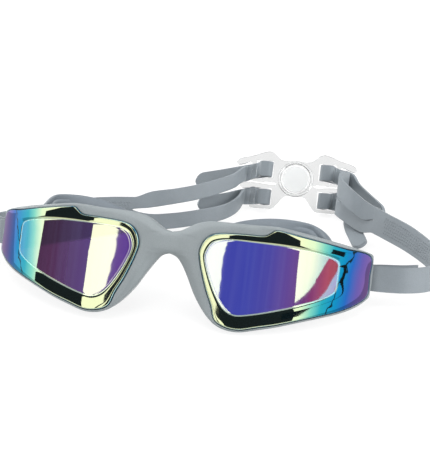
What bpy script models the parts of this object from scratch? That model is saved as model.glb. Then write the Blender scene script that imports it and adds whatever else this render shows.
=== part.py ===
"""Swim goggles lying folded on a table: a one-piece silicone frame with a nose bridge, two wrapped
mirror lenses on dark seat rings, two eye seals, and two Y-shaped straps that run from pins behind
the temple ends of the lenses to a clear clip. Units are metres; the numbers below are millimetres
turned into metres by MM. The front leans back about X; +Z is up and the floor is at z = 0."""

import math

import bmesh
import bpy
import numpy as np
from mathutils import Matrix, Vector

MM = 0.001

# ---- driving dimensions (mm, degrees) ----
LEAN = 27.85                 # the whole front, straps and clip lean back by this angle
SHIFT = (-2.93, -54.97, 35.87)  # from the top of the nose bridge to the middle of the base
FRONT_TURN = 3.5             # turn of the front about its upright, +X end further back
FOLLOW = (82.0, 108.0)       # half widths where a strap stops and starts turning with the front
LENS_FLAT = 25.0             # half width of the flat middle of the lens surface
LENS_RADIUS = 80.0           # radius of the wrapped outer part of the lens surface
LENS_THICK = 1.8
SEAT_FRONT = 2.1             # depth of the seat ring behind the lens front
SEAT_BACK = 3.8
GAP = 0.3                    # clearance between neighbouring pieces
BODY_FRONT = 4.1             # depth at which the frame body starts behind the seat
BODY_BACK = 8.0
SEAL_FRONT = 8.3
BRIDGE_FRONT = 1.3
BRIDGE_BACK = 6.6
STRAP_THICK = 1.6
BRANCH_WIDTH = 7.8
PIN = (77.0, 31.5, -8.5)
PIN_RADIUS = 1.3
PIN_HALF = 5.4
EAR_IN = 5.7                 # half the gap between the two ears of a bracket
EAR_OUT = 7.4
CLIP_CENTRE = (28.0, 112.9, 37.4)
CLIP_TURN = 7.0              # the clip faces slightly towards +X
CLIP_TILT = 2.4              # and is tilted a little in its own plane
CLIP_HALF = 1.0              # half the thickness of the clip plate
DISC_RADIUS = 6.8
DISC_HALF = 1.3
COUNTS = (34, 6, 14, 28, 7)  # stations on the top, bridge, nose, bottom and temple edges

# ---- outlines of one eye, (x, z) pairs in five runs: top, bridge, nose, bottom, temple ----
LENS_EDGE = (
    ((80.5, 0), (70.7, 1.5), (61.3, 2.9), (51.8, 4.2), (46, 5.0), (42.8, 5.2), (41, 3.8),
     (39, 2.5), (30, 2.0), (20, 1.2), (16.6, 0.0), (14.3, -2.5)),
    ((14.3, -2.5), (13.0, -6.0), (13.0, -8.2)),
    ((13.0, -8.2), (14.2, -13), (17.3, -21.5), (20.4, -28), (21.3, -31.0), (22.4, -33.4)),
    ((22.4, -33.4), (25, -35.0), (28.8, -36), (33, -36), (39.7, -34.2), (47, -32.2), (56, -29.1),
     (64.7, -26), (71, -23.5), (77, -20), (80.7, -16.2)),
    ((80.7, -16.2), (80.9, -8.2), (80.5, 0)),
)
WINDOW_EDGE = (
    ((68, -4), (66, -2.8), (60, -1.6), (50, -0.7), (36, -0.5), (25, -0.7), (20.6, -1.4),
     (17.6, -2.8), (16, -5.2)),
    ((16, -5.2), (15.2, -8.0), (15.5, -10.5)),
    ((15.5, -10.5), (19, -19), (23.2, -26), (26.4, -29.2)),
    ((26.4, -29.2), (30.4, -30.6), (35.5, -29.8), (46, -26.8), (55.5, -23.4), (65, -18.8),
     (68, -16)),
    ((68, -16), (68.4, -10), (68, -4)),
)
FRAME_FRONT = (
    ((82.0, 1.2), (76, 2.6), (67, 4.0), (55, 5.4), (46, 6.6), (42, 6.8), (33, 6.3), (22, 6.3),
     (15, 6.0), (10, 4.7), (6.3, 2.6), (3, 0.7), (0, 0)),
    ((0, 0), (0, -4.6), (0, -9.3)),
    ((0, -9.3), (2.8, -10.3), (5.2, -12.9), (8.5, -18.2), (12, -24.5), (15.5, -29.3),
     (18.6, -32.8), (21.8, -35.3)),
    ((21.8, -35.3), (25, -36.7), (29, -37.4), (33, -37.3), (40, -35.5), (47, -33.5), (56, -30.4),
     (65, -27.3), (71.5, -24.8), (77.8, -21.2), (82.2, -16.8)),
    ((82.2, -16.8), (82.4, -8.2), (82.0, 1.2)),
)
FRAME_BACK = (
    ((81.6, 0.8), (75, 2.6), (66, 4.6), (55, 6.2), (46, 7.0), (40, 7.0), (33, 6.6), (22, 6.2),
     (15, 5.6), (10, 4.3), (6.3, 2.3), (3, 0.3), (0, -0.4)),
    ((0, -0.4), (0, -4.6), (0, -8.9)),
    ((0, -8.9), (2.8, -9.9), (5.6, -12.9), (9.3, -18.2), (13, -24.5), (16.5, -29), (19.6, -32),
     (22.8, -33.6)),
    ((22.8, -33.6), (26, -34.2), (29, -34.3), (34, -34.2), (40, -34.2), (47, -33.4), (56, -30.6),
     (65, -27.2), (71, -24.6), (77, -21), (81.6, -16.4)),
    ((81.6, -16.4), (81.9, -8.2), (81.6, 0.8)),
)
SEAL_BULGE = (
    ((64.2, 4.0), (61.4, 7.8), (56, 10.4), (48, 11.3), (38, 10.9), (28, 9.0), (20, 6.0), (15, 2.4)),
    ((15, 2.4), (12.6, -2), (12.0, -6)),
    ((12.0, -6), (13.4, -13), (16.8, -20), (20.5, -26), (23.4, -29.2)),
    ((23.4, -29.2), (28, -31.6), (34, -32.0), (42, -31.0), (50, -28.8), (57, -26.0), (61.6, -21.6),
     (63.4, -17.6)),
    ((63.4, -17.6), (64.4, -7), (64.2, 4.0)),
)
SEAL_RIM = (
    ((63.5, 1.6), (60.5, 5.4), (54, 8.4), (46, 9.6), (36, 9.0), (28, 6.8), (22, 3.4), (18.6, 0)),
    ((18.6, 0), (17.2, -3.4), (17, -7)),
    ((17, -7), (18.4, -13), (21.4, -18.6), (25, -22.6), (27.4, -23.8)),
    ((27.4, -23.8), (32, -25.2), (38, -25.2), (46, -23.9), (53, -21.8), (59, -17.6), (62.4, -13.4)),
    ((62.4, -13.4), (64, -6), (63.5, 1.6)),
)


def wipe():
    for ob in list(bpy.data.objects):
        bpy.data.objects.remove(ob, do_unlink=True)


def spline(points, per=None, step=None, closed=False):
    """Catmull-Rom curve through the points; per gives the samples in each span, or step a length."""
    pts = [np.array(p, float) for p in points]
    n = len(pts)
    spans = n if closed else n - 1
    out = []
    for i in range(spans):
        p1, p2 = pts[i], pts[(i + 1) % n]
        p0 = pts[i - 1] if (closed or i > 0) else 2 * p1 - p2
        p3 = pts[(i + 2) % n] if (closed or i + 2 < n) else 2 * p2 - p1
        k = per or max(1, int(math.ceil(np.linalg.norm((p2 - p1)[:3]) / step)))
        d0 = max(np.linalg.norm(p1 - p0), 1e-6) ** 0.5
        d1 = max(np.linalg.norm(p2 - p1), 1e-6) ** 0.5
        d2 = max(np.linalg.norm(p3 - p2), 1e-6) ** 0.5
        m1 = (p1 - p0) / d0 - (p2 - p0) / (d0 + d1) + (p2 - p1) / d1
        m2 = (p2 - p1) / d1 - (p3 - p1) / (d1 + d2) + (p3 - p2) / d2
        m1, m2 = m1 * d1, m2 * d1
        for j in range(k):
            t = j / k
            h = (2 * t**3 - 3 * t**2 + 1, t**3 - 2 * t**2 + t, -2 * t**3 + 3 * t**2, t**3 - t**2)
            out.append(h[0] * p1 + h[1] * m1 + h[2] * p2 + h[3] * m2)
    if not closed:
        out.append(pts[-1])
    return np.array(out)


def resample(curve, n):
    """n points evenly spaced by length along the curve, without its last point."""
    seg = np.linalg.norm(np.diff(curve, axis=0), axis=1)
    s = np.concatenate(([0], np.cumsum(seg)))
    want = np.linspace(0, s[-1], n, endpoint=False)
    return np.stack([np.interp(want, s, curve[:, k]) for k in range(curve.shape[1])], axis=1)


def outline(runs, smooth=True):
    """The five runs as one closed ring of sum(COUNTS) stations."""
    if not smooth:
        return np.concatenate([resample(spline(r, per=8), n) for r, n in zip(runs, COUNTS)])
    pts = [p for r in runs for p in r[:-1]]
    dense = spline(pts, per=8, closed=True)
    dense = np.concatenate((dense, dense[:1]))
    rows, at = [], 0
    for r, n in zip(runs, COUNTS):
        end = at + 8 * (len(r) - 1)
        rows.append(resample(dense[at:end + 1], n))
        at = end
    return np.concatenate(rows)


def surface(x):
    """Depth (y) of the lens front and its turn angle at half-width x."""
    a = max(0.0, abs(x) - LENS_FLAT)
    a = min(a, LENS_RADIUS * 0.98)
    return LENS_RADIUS - math.sqrt(LENS_RADIUS**2 - a * a), math.asin(a / LENS_RADIUS)


def behind(xz, depth):
    """Points at the given depths behind the lens front, measured square to it."""
    depth = np.broadcast_to(depth, (len(xz),))
    rows = []
    for (x, z), d in zip(xz, depth):
        y, turn = surface(x)
        rows.append((x - math.sin(turn) * d, y + math.cos(turn) * d, z))
    return np.array(rows)


def mix(a, b, k):
    """Points between two rings, k of the way from a to b."""
    k = np.broadcast_to(k, (len(a),))[:, None]
    return a * (1 - k) + b * k


def between(a, b, k):
    """The same for one value at each station."""
    return a * (1 - k) + b * k


def outward(a, b, dist):
    """a moved by dist towards b."""
    d = b - a
    return a + d / np.linalg.norm(d, axis=1)[:, None] * dist


def ease(t):
    t = np.clip(t, 0, 1)
    return t * t * (3 - 2 * t)


def temple_weight():
    """1 on the temple edge, easing to 0 along the first part of the top and bottom edges."""
    top, bridge, nose, bottom, temple = COUNTS
    w_top = 1 - ease(np.arange(top) / (top * 0.24))
    w_bot = ease((np.arange(bottom) - bottom * 0.70) / (bottom * 0.26))
    return np.concatenate((w_top, np.zeros(bridge + nose), w_bot, np.ones(temple)))


def nose_weight():
    """1 on the bridge, easing to 0 outwards along the top and down the nose edge."""
    top, bridge, nose, bottom, temple = COUNTS
    w_top = ease((np.arange(top) - top * 0.62) / (top * 0.36))
    w_nose = 1 - ease(np.arange(nose) / (nose * 1.05))
    return np.concatenate((w_top, np.ones(bridge), w_nose, np.zeros(bottom + temple)))


def mesh_object(name, bm, colour, rough, metal=0.0, parent=None, smooth=True, alpha=1.0):
    bmesh.ops.recalc_face_normals(bm, faces=bm.faces)
    if bm.calc_volume(signed=True) < 0:
        bmesh.ops.reverse_faces(bm, faces=bm.faces[:])
    me = bpy.data.meshes.new(name)
    bm.to_mesh(me)
    bm.free()
    for p in me.polygons:
        p.use_smooth = smooth
    mat = bpy.data.materials.new(name)
    mat.use_nodes = True
    bsdf = mat.node_tree.nodes["Principled BSDF"]
    bsdf.inputs["Base Color"].default_value = (*colour, 1.0)
    bsdf.inputs["Roughness"].default_value = rough
    bsdf.inputs["Metallic"].default_value = metal
    bsdf.inputs["Alpha"].default_value = alpha
    me.materials.append(mat)
    ob = bpy.data.objects.new(name, me)
    bpy.context.scene.collection.objects.link(ob)
    ob.parent = parent
    return ob


def ring_mesh(rails, skip=None):
    """A closed tube round the eye: rails are arrays of the same stations, in section order."""
    bm = bmesh.new()
    n, k = len(rails[0]), len(rails)
    grid = [[bm.verts.new(Vector(rails[j][i]) * MM) for j in range(k)] for i in range(n)]
    for i in range(n):
        for j in range(k):
            if skip and skip(i, j):
                continue
            a, b = grid[i], grid[(i + 1) % n]
            jj = (j + 1) % k
            bm.faces.new((a[j], b[j], b[jj], a[jj]))
    return bm


def mirrored(bm):
    for v in bm.verts:
        v.co.x = -v.co.x
    return bm


# ---- the front ----
def frame_mesh(eye):
    top, bridge = COUNTS[0], COUNTS[1]
    lip = outward(eye["lens"], eye["front"], GAP)
    inner = mix(eye["lens"], eye["window"], 0.8 - 0.45 * eye["temple"])
    nose, temple = eye["nose"], eye["temple"]
    back = BODY_BACK - 2.6 * temple
    lip_front = behind(lip, 0.3)
    mid = behind(mix(lip, eye["front"], 0.55), 0.25 + 0.5 * nose)
    outer = behind(eye["front"], 0.9 + 2.4 * nose)
    rear = behind(eye["back"], back + 0.3 * nose)
    for i in range(top, top + bridge + 1):
        outer[i][1] = BRIDGE_FRONT
        rear[i][1] = BRIDGE_BACK
    for i in range(len(outer)):
        fade = ease(1 - abs(outer[i][0]) / 9.0)
        if eye["nose"][i] > 0:
            outer[i][1] = outer[i][1] * (1 - fade) + BRIDGE_FRONT * fade
            rear[i][1] = rear[i][1] * (1 - fade) + BRIDGE_BACK * fade
    rails = [lip_front, mid, outer, rear, behind(inner, back), behind(inner, BODY_FRONT),
             behind(lip, BODY_FRONT)]
    bm = ring_mesh(rails, skip=lambda i, j: j == 2 and top <= i < top + bridge)
    half = bm.verts[:] + bm.edges[:] + bm.faces[:]
    bmesh.ops.mirror(bm, geom=half, axis="X", merge_dist=1e-6)
    bmesh.ops.remove_doubles(bm, verts=bm.verts[:], dist=1e-6)
    return bm


def seat_mesh(eye):
    outer = outward(eye["lens"], eye["window"], 0.7)
    inner = eye["window"]
    across = [outer, mix(outer, inner, 0.33), mix(outer, inner, 0.67), inner]
    return ring_mesh([behind(r, SEAT_FRONT) for r in across]
                     + [behind(r, SEAT_BACK) for r in across[::-1]])


def lens_mesh(eye):
    """A wrapped plate: rings shrinking towards a middle line, front and back."""
    bm = bmesh.new()
    lens = eye["lens"]
    axis = np.stack((np.clip(lens[:, 0], 34, 68), -13.5 + 0 * lens[:, 0]), axis=1)
    layers = []
    for depth, steps in ((0.0, (0.0, 0.4, 0.9)), (LENS_THICK, (0.9, 0.4, 0.0))):
        for k in steps:
            layers.append([bm.verts.new(Vector(p) * MM) for p in behind(mix(lens, axis, k), depth)])
    n = len(lens)
    for a, b in zip(layers, layers[1:] + layers[:1]):
        if a is layers[2]:
            continue
        for i in range(n):
            bm.faces.new((a[i], a[(i + 1) % n], b[(i + 1) % n], b[i]))
    for ring in (layers[2], layers[3]):
        edges = [bm.edges.get((ring[i], ring[(i + 1) % n])) for i in range(n)]
        filled = bmesh.ops.triangle_fill(bm, edges=edges, use_beauty=True)
        faces = [g for g in filled["geom"] if isinstance(g, bmesh.types.BMFace)]
        if len(faces) != n - 2:
            raise RuntimeError("the middle of a lens did not fill")
    return bm


def seal_mesh(eye):
    temple, nose = eye["temple"], eye["nose"]
    front = SEAL_FRONT - 4.1 * temple
    low = ease((-29 - eye["lens"][:, 1]) / 5)
    outer = mix(eye["lens"], eye["window"], 0.06 + 0.82 * temple + 0.26 * low)
    inner = mix(eye["lens"], eye["window"], 0.80 + 0.28 * temple)
    bulge, rim = eye["bulge"], eye["rim"]
    centre = np.stack((np.clip(rim[:, 0], 34, 50), -9 + 0 * rim[:, 0]), axis=1)
    y_bulge = 12.6 - 1.6 * nose + 9.0 * temple
    y_bulge = y_bulge - 2.2 * ease((-20 - bulge[:, 1]) / 8)
    y_rim = 20.5 + 0.8 * nose + 7.5 * temple

    def at(xz, y):
        return np.stack((xz[:, 0], y, xz[:, 1]), axis=1)

    tuck = outward(rim, centre, 3.2)
    inside = outward(bulge, centre, 1.9)
    return ring_mesh([
        behind(outer, front), at(bulge, y_bulge), at(mix(bulge, rim, 0.62), between(y_bulge, y_rim, 0.6)),
        at(rim, y_rim - 0.7), at(outward(rim, centre, 1.3), y_rim + 0.3), at(tuck, y_rim - 0.9),
        at(mix(inside, tuck, 0.6), between(y_bulge, y_rim, 0.5)), at(inside, y_bulge),
        behind(inner, front)])


def bracket_mesh():
    """A base behind the seat with two ears that hold the pin, cut from one extruded outline."""
    px, py, pz = PIN
    arc = [(px + 2.8 * math.cos(t), py + 2.8 * math.sin(t))
           for t in np.radians(np.linspace(-80, 90, 8))]
    ear = [(69.0, 19.0), (71.8, 21.8), (72.2, 24.6)] + arc + [(73.0, 33.6), (68.6, 27.6)]
    base = [(69.0, 19.0), (71.8, 21.8), (72.2, 24.6), (72.4, 28.2), (71.2, 29.0), (68.6, 27.6)]
    bm = bmesh.new()
    levels = (-EAR_OUT, -EAR_IN, EAR_IN, EAR_OUT)
    rows = {}
    for lev in levels:
        rows[lev] = [bm.verts.new(Vector((x, y, pz + lev)) * MM) for x, y in ear]
    low = [rows[-EAR_IN][i] for i in (0, 1, 2)]
    high = [rows[EAR_IN][i] for i in (0, 1, 2)]
    low += [bm.verts.new(Vector((x, y, pz - EAR_IN)) * MM) for x, y in base[3:5]]
    high += [bm.verts.new(Vector((x, y, pz + EAR_IN)) * MM) for x, y in base[3:5]]
    low.append(rows[-EAR_IN][-1])
    high.append(rows[EAR_IN][-1])
    n = len(ear)
    for a, b in ((-EAR_OUT, -EAR_IN), (EAR_IN, EAR_OUT)):
        for i in range(n):
            bm.faces.new((rows[a][i], rows[a][(i + 1) % n], rows[b][(i + 1) % n], rows[b][i]))
    for i in range(6):
        bm.faces.new((low[i], low[(i + 1) % 6], high[(i + 1) % 6], high[i]))
    bm.faces.new(rows[-EAR_OUT])
    bm.faces.new(rows[EAR_OUT])
    for lev, mid in ((-EAR_IN, low), (EAR_IN, high)):
        # the ear's inner face outside the base: from the base's third corner round the pin
        bm.faces.new(rows[lev][2:] + [mid[4], mid[3]])
    return bm


def cylinder_mesh(centre, radius, half, n=20):
    bm = bmesh.new()
    bmesh.ops.create_cone(bm, cap_ends=True, segments=n, radius1=radius * MM, radius2=radius * MM,
                          depth=2 * half * MM)
    bmesh.ops.translate(bm, verts=bm.verts[:], vec=Vector(centre) * MM)
    return bm


# ---- straps ----
def clip_point(u, v, n):
    """A point in the clip's own frame: u along it, v up its face, n towards the front."""
    turn, tilt = math.radians(CLIP_TURN), math.radians(CLIP_TILT)
    e = np.array((math.cos(turn), math.sin(turn), 0))
    up = np.array((0, 0, 1.0))
    along = e * math.cos(tilt) + up * math.sin(tilt)
    rise = up * math.cos(tilt) - e * math.sin(tilt)
    face = np.array((math.sin(turn), -math.cos(turn), 0))
    return np.array(CLIP_CENTRE) + along * u + rise * v + face * n


# strap path over one bar of the clip, (distance from the clip's middle, height above its face)
LOOP = ((26.2, 1.0), (26.0, -0.6), (25.0, -2.2), (23.4, -2.9), (21.5, -3.0), (19.9, -2.7),
        (18.7, -1.7), (18.3, -0.5), (18.2, 0.6), (18.0, 1.5), (17.3, 2.3), (16.3, 2.5),
        (14.7, 2.5), (13.7, 2.3), (13.0, 1.5), (12.8, 0.6), (12.8, -0.6), (12.95, -1.7),
        (13.8, -3.1), (15.5, -4.3), (18.2, -4.8), (22, -5.0))
UPPER_V = (0.8, 0.9, 1.3, 2.1, 3.0, 3.6, 4.0, 4.2)
LOWER_V = (-10.8, -10.8, -10.7, -10.5, -10.3, -10.2, -10.1, -10.1)


def loop_points(side, heights):
    rows = []
    last = len(LOOP) - 1
    drop = -0.5 if heights[0] > 0 else 0.7
    for i, (u, n) in enumerate(LOOP):
        v = heights[min(i, 7)] if i < last - 1 else heights[7] + drop * (i - last + 2)
        rows.append((*clip_point(side * u, v, n), BRANCH_WIDTH, 0.0))
    return rows


# (x, y, z, width, roll in degrees); the band runs from the pin to the fork, branches from there
RIGHT_BAND = ((98.2, 39.6, -5.6, 10.4, 0), (92, 36.0, -6.7, 10.4, 0), (85, 34.2, -7.4, 10.4, 0),
              (80, 33.9, -8.0, 10.4, 0))
RIGHT_MAIN = ((80, 29.1, -8.5, 10.8, 0), (85.5, 29.8, -8.5, 10.8, 0), (94.5, 33.2, -7.8, 10.8, 0),
              (102, 41.5, -6.0, 10.8, 0), (105.4, 50, -3.4, 10.8, 0), (105.2, 58.5, 1.4, 11, 0),
              (99.6, 66, 6.1, 11.4, 0), (90.2, 73, 11.7, 12, 0), (79.4, 79.6, 16.4, 12, 0),
              (73, 83.6, 19.2, 12.4, 0))
RIGHT_UPPER = ((67.2, 87, 26.0, 8.4, 0), (61, 91.4, 32.6, 8.0, 0), (56.6, 97, 37.0, 7.8, 0),
               (54.6, 104, 39.4, 7.8, 0), (54.0, 110.5, 40.4, 7.8, 0))
RIGHT_LOWER = ((67.2, 87.4, 17.6, 7.8, 0), (61, 91.8, 20.0, 7.8, 0), (56.4, 97, 22.4, 7.8, 0),
               (54.4, 104, 25.4, 7.8, 0), (53.8, 110.5, 27.2, 7.8, 0))
RIGHT_UPPER_TAIL = ((55.4, 118.4, 40.2, 7.8, 0), (60.0, 113.8, 34.8, 7.8, 0),
                    (65.5, 108.6, 30.4, 7.8, 0), (72, 102.6, 25.6, 7.8, 0), (76, 98.4, 22.4, 7.8, 0))
RIGHT_LOWER_TAIL = ((55.6, 118.0, 26.9, 7.8, 0), (60.4, 111.0, 24.2, 7.8, 14),
                    (64.2, 101.0, 18.6, 7.8, 34), (67.0, 91.0, 12.6, 7.8, 44),
                    (68.4, 83.6, 10.2, 7.8, 44), (69.4, 79.4, 8.9, 7.8, 40))
LEFT_BAND = tuple((-x, y, z, w, r) for x, y, z, w, r in RIGHT_BAND)
LEFT_MAIN = ((-80, 29.1, -8.5, 10.8, 0), (-85.5, 29.8, -8.5, 10.8, 0), (-94.0, 33.6, -8.0, 10.8, 0),
             (-99.4, 41, -6.4, 10.8, 0), (-97.5, 50, -3.6, 10.8, 0), (-89.5, 56.0, -0.4, 11, 0),
             (-78, 59.4, 3.0, 11.4, 0), (-65, 62.6, 6.6, 12, 0), (-52, 66.6, 9.2, 12, 0),
             (-42.5, 71, 10.4, 12.4, 0))
LEFT_UPPER = ((-35, 74.6, 16.4, 8.0, 0), (-25, 79.6, 19.6, 7.8, 0), (-15, 86.4, 23.6, 7.8, 0),
              (-6, 95.4, 28.8, 7.8, 0), (-0.8, 101.0, 32.6, 7.8, 0), (0.9, 105.4, 35.6, 7.8, 0))
LEFT_LOWER = ((-35, 74.6, 5.6, 7.8, 0), (-25, 79.0, 7.4, 7.8, 0), (-13, 84.8, 11.0, 7.8, 0),
              (-3, 92.4, 15.2, 7.8, 0), (1.0, 99.0, 19.0, 7.8, 0), (2.2, 104.8, 22.4, 7.8, 0))
LEFT_UPPER_TAIL = ((-2, 113.6, 37.4, 7.8, 0), (-12, 113.4, 34.6, 7.8, 0), (-24.4, 113.2, 31.4, 7.8, 0))
LEFT_LOWER_TAIL = ((-0.6, 112.0, 25.2, 7.8, 0), (-5.6, 107.0, 22.6, 7.8, 0),
                   (-11.4, 101.0, 20.2, 7.8, 0), (-17.0, 96.4, 18.6, 7.8, 0))


def pin_turn(side):
    """The strap's half turn round its pin, from the inner layer to the main band."""
    px, py, pz = PIN
    r = PIN_RADIUS + GAP + STRAP_THICK / 2 - 0.02
    rows = []
    for t in np.linspace(90, 270, 7):
        a = math.radians(t)
        z = pz + 0.35 * (270 - t) / 180
        rows.append((side * (px + r * math.cos(a)), py + r * math.sin(a), z, 10.6, 0))
    return rows


def turn_with_front(row):
    """A strap point near its pin, turned as far as the front is; further out it turns less."""
    near, far = FOLLOW
    share = ease((far - abs(row[0])) / (far - near)) if row[1] < 45 else 0.0
    a = math.radians(FRONT_TURN) * float(share)
    x, y = row[0] * math.cos(a) - row[1] * math.sin(a), row[0] * math.sin(a) + row[1] * math.cos(a)
    return (x, y, *row[2:])


def frames(path, end_round=False):
    """Half-width and normal vectors at each station of a strap path."""
    xyz = path[:, :3]
    tan = np.gradient(xyz, axis=0)
    tan[:, 2] = 0
    tan /= np.linalg.norm(tan, axis=1)[:, None]
    flat = np.stack((tan[:, 1], -tan[:, 0], 0 * tan[:, 0]), axis=1)
    up = np.tile((0, 0, 1.0), (len(xyz), 1))
    roll = np.radians(path[:, 4])[:, None]
    wide = up * np.cos(roll) + flat * np.sin(roll)
    norm = flat * np.cos(roll) - up * np.sin(roll)
    half = path[:, 3].copy() / 2
    if end_round:
        s = np.concatenate(([0], np.cumsum(np.linalg.norm(np.diff(xyz, axis=0), axis=1))))
        left = s[-1] - s
        r = BRANCH_WIDTH / 2
        half = np.where(left < r, half * np.sqrt(np.clip(1 - (1 - left / r) ** 2, 0.06, 1)), half)
    return xyz, wide * half[:, None], norm * STRAP_THICK / 2


def tail_stations(points):
    """Spline samples with a few extra close to the rounded end."""
    path = spline(points, step=5.0)
    a, b = path[-2], path[-1]
    gap = np.linalg.norm((b - a)[:3])
    extra = [b + (a - b) * min(0.95, d / gap) for d in (BRANCH_WIDTH / 2, 2.2, 1.0, 0.25)]
    extra = [e for e, d in zip(extra, (BRANCH_WIDTH / 2, 2.2, 1.0, 0.25)) if d < gap]
    return np.concatenate((path[:-1], np.array(extra), path[-1:]))


def strap_mesh(side, band, main, upper, lower, upper_tail, lower_tail):
    """One Y-shaped strap: a doubled band round the pin that divides into two branches; each branch
    turns round its bar of the clip and comes back as a free tail with a rounded end."""
    bm = bmesh.new()
    along = [turn_with_front(row) for row in (*band, *pin_turn(side), *main)]
    band_path = spline(along, step=5.0)
    xyz, wide, norm = frames(band_path)
    rows = []
    for p, w, m in zip(xyz, wide, norm):
        rows.append([bm.verts.new(Vector(q) * MM) for q in
                     (p + m - w, p + m, p + m + w, p - m + w, p - m, p - m - w)])
    for a, b in zip(rows, rows[1:]):
        for j in range(6):
            k = (j + 1) % 6
            bm.faces.new((a[j], b[j], b[k], a[k]))
    bm.faces.new(rows[0])
    fork = band_path[-1]
    before = band_path[-3]
    ends = rows[-1]
    for sign, run, tail, heights in ((1, upper, upper_tail, UPPER_V), (-1, lower, lower_tail, LOWER_V)):
        start = fork.copy()
        start[2] += sign * fork[3] / 4
        start[3] = fork[3] / 2
        lead = before.copy()
        lead[2] += sign * before[3] / 4
        points = [lead, start] + [np.array(q, float) for q in run]
        points += [np.array(q) for q in loop_points(side, heights)] + [np.array(q, float) for q in tail]
        path = spline(points[:-len(tail)], step=4.0)
        path = path[:-1]
        rest = tail_stations(points[-len(tail) - 1:])
        path = np.concatenate((path, rest))
        keep = np.linalg.norm(path[:, :3] - start[:3], axis=1).argmin()
        path = path[keep:]
        pts, wide, norm = frames(path, end_round=True)
        first = [ends[1], ends[2], ends[3], ends[4]] if sign > 0 else [ends[0], ends[1], ends[4], ends[5]]
        last = first
        for p, w, m in list(zip(pts, wide, norm))[1:]:
            row = [bm.verts.new(Vector(q) * MM) for q in (p + m - w, p + m + w, p - m + w, p - m - w)]
            for j in range(4):
                k = (j + 1) % 4
                bm.faces.new((last[j], row[j], row[k], last[k]))
            last = row
        bm.faces.new(last)
    return bm


# ---- the clip ----
HALF_CLIP = ((0, -9.3), (3.2, -8.9), (5.6, -9.7), (8.5, -13.4), (11, -15.9), (15, -16.2), (21, -16.2),
             (22.6, -15.4), (22.8, -14), (22.6, -6.3), (27.0, -6.2), (28.2, -5.0), (27.2, -3.6),
             (22, -3.2), (16, -3.5), (10.8, -3.9), (9.4, -3.1), (10.8, -2.4), (15, -2.5),
             (21.8, -2.5), (22.7, -1.6), (22.8, 7.2), (28.2, 5.7), (30.1, 5.7), (30.6, 6.9),
             (29.2, 8.5), (22, 10.7), (17, 12.6), (13.8, 13.3), (11.4, 12.4), (8, 9.5), (5.2, 8.9),
             (3, 9.1))
SLOTS = ((16.9, 20.3, -1.2, 8.6), (11.6, 14.3, -0.2, 8.6), (16.9, 20.3, -14.5, -5.6),
         (11.6, 14.3, -14.5, -5.6))


def clip_mesh():
    """The plate with its eight slots and the hub hole, filled flat and made thick."""
    ring = list(HALF_CLIP) + [(0, 9.3)] + [(-u, v) for u, v in HALF_CLIP[:0:-1]]
    loops = [ring]
    for side in (1, -1):
        for u0, u1, v0, v1 in SLOTS:
            c = 0.6
            loops.append([(side * u, v) for u, v in
                          ((u0 + c, v0), (u1 - c, v0), (u1, v0 + c), (u1, v1 - c), (u1 - c, v1),
                           (u0 + c, v1), (u0, v1 - c), (u0, v0 + c))])
    hole = DISC_RADIUS + GAP
    loops.append([(hole * math.cos(t), hole * math.sin(t))
                  for t in np.linspace(0, 2 * math.pi, 28, endpoint=False)])
    bm = bmesh.new()
    for loop in loops:
        vs = [bm.verts.new(Vector(clip_point(u, v, -CLIP_HALF)) * MM) for u, v in loop]
        for i in range(len(vs)):
            bm.edges.new((vs[i], vs[(i + 1) % len(vs)]))
    bmesh.ops.triangle_fill(bm, edges=bm.edges[:], use_beauty=True)
    out = bmesh.ops.extrude_face_region(bm, geom=bm.faces[:])
    face = clip_point(0, 0, 1) - clip_point(0, 0, 0)
    moved = [g for g in out["geom"] if isinstance(g, bmesh.types.BMVert)]
    bmesh.ops.translate(bm, verts=moved, vec=Vector(face) * (2 * CLIP_HALF * MM))
    return bm


def disc_mesh():
    bm = bmesh.new()
    n = 28
    rims = []
    for r, h in ((DISC_RADIUS - 0.4, -DISC_HALF), (DISC_RADIUS, -DISC_HALF + 0.4),
                 (DISC_RADIUS, DISC_HALF - 0.4), (DISC_RADIUS - 0.4, DISC_HALF)):
        rims.append([bm.verts.new(Vector(clip_point(r * math.cos(t), r * math.sin(t), h)) * MM)
                     for t in np.linspace(0, 2 * math.pi, n, endpoint=False)])
    for a, b in zip(rims, rims[1:]):
        for i in range(n):
            bm.faces.new((a[i], a[(i + 1) % n], b[(i + 1) % n], b[i]))
    bm.faces.new(rims[0])
    bm.faces.new(rims[-1])
    return bm


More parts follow.
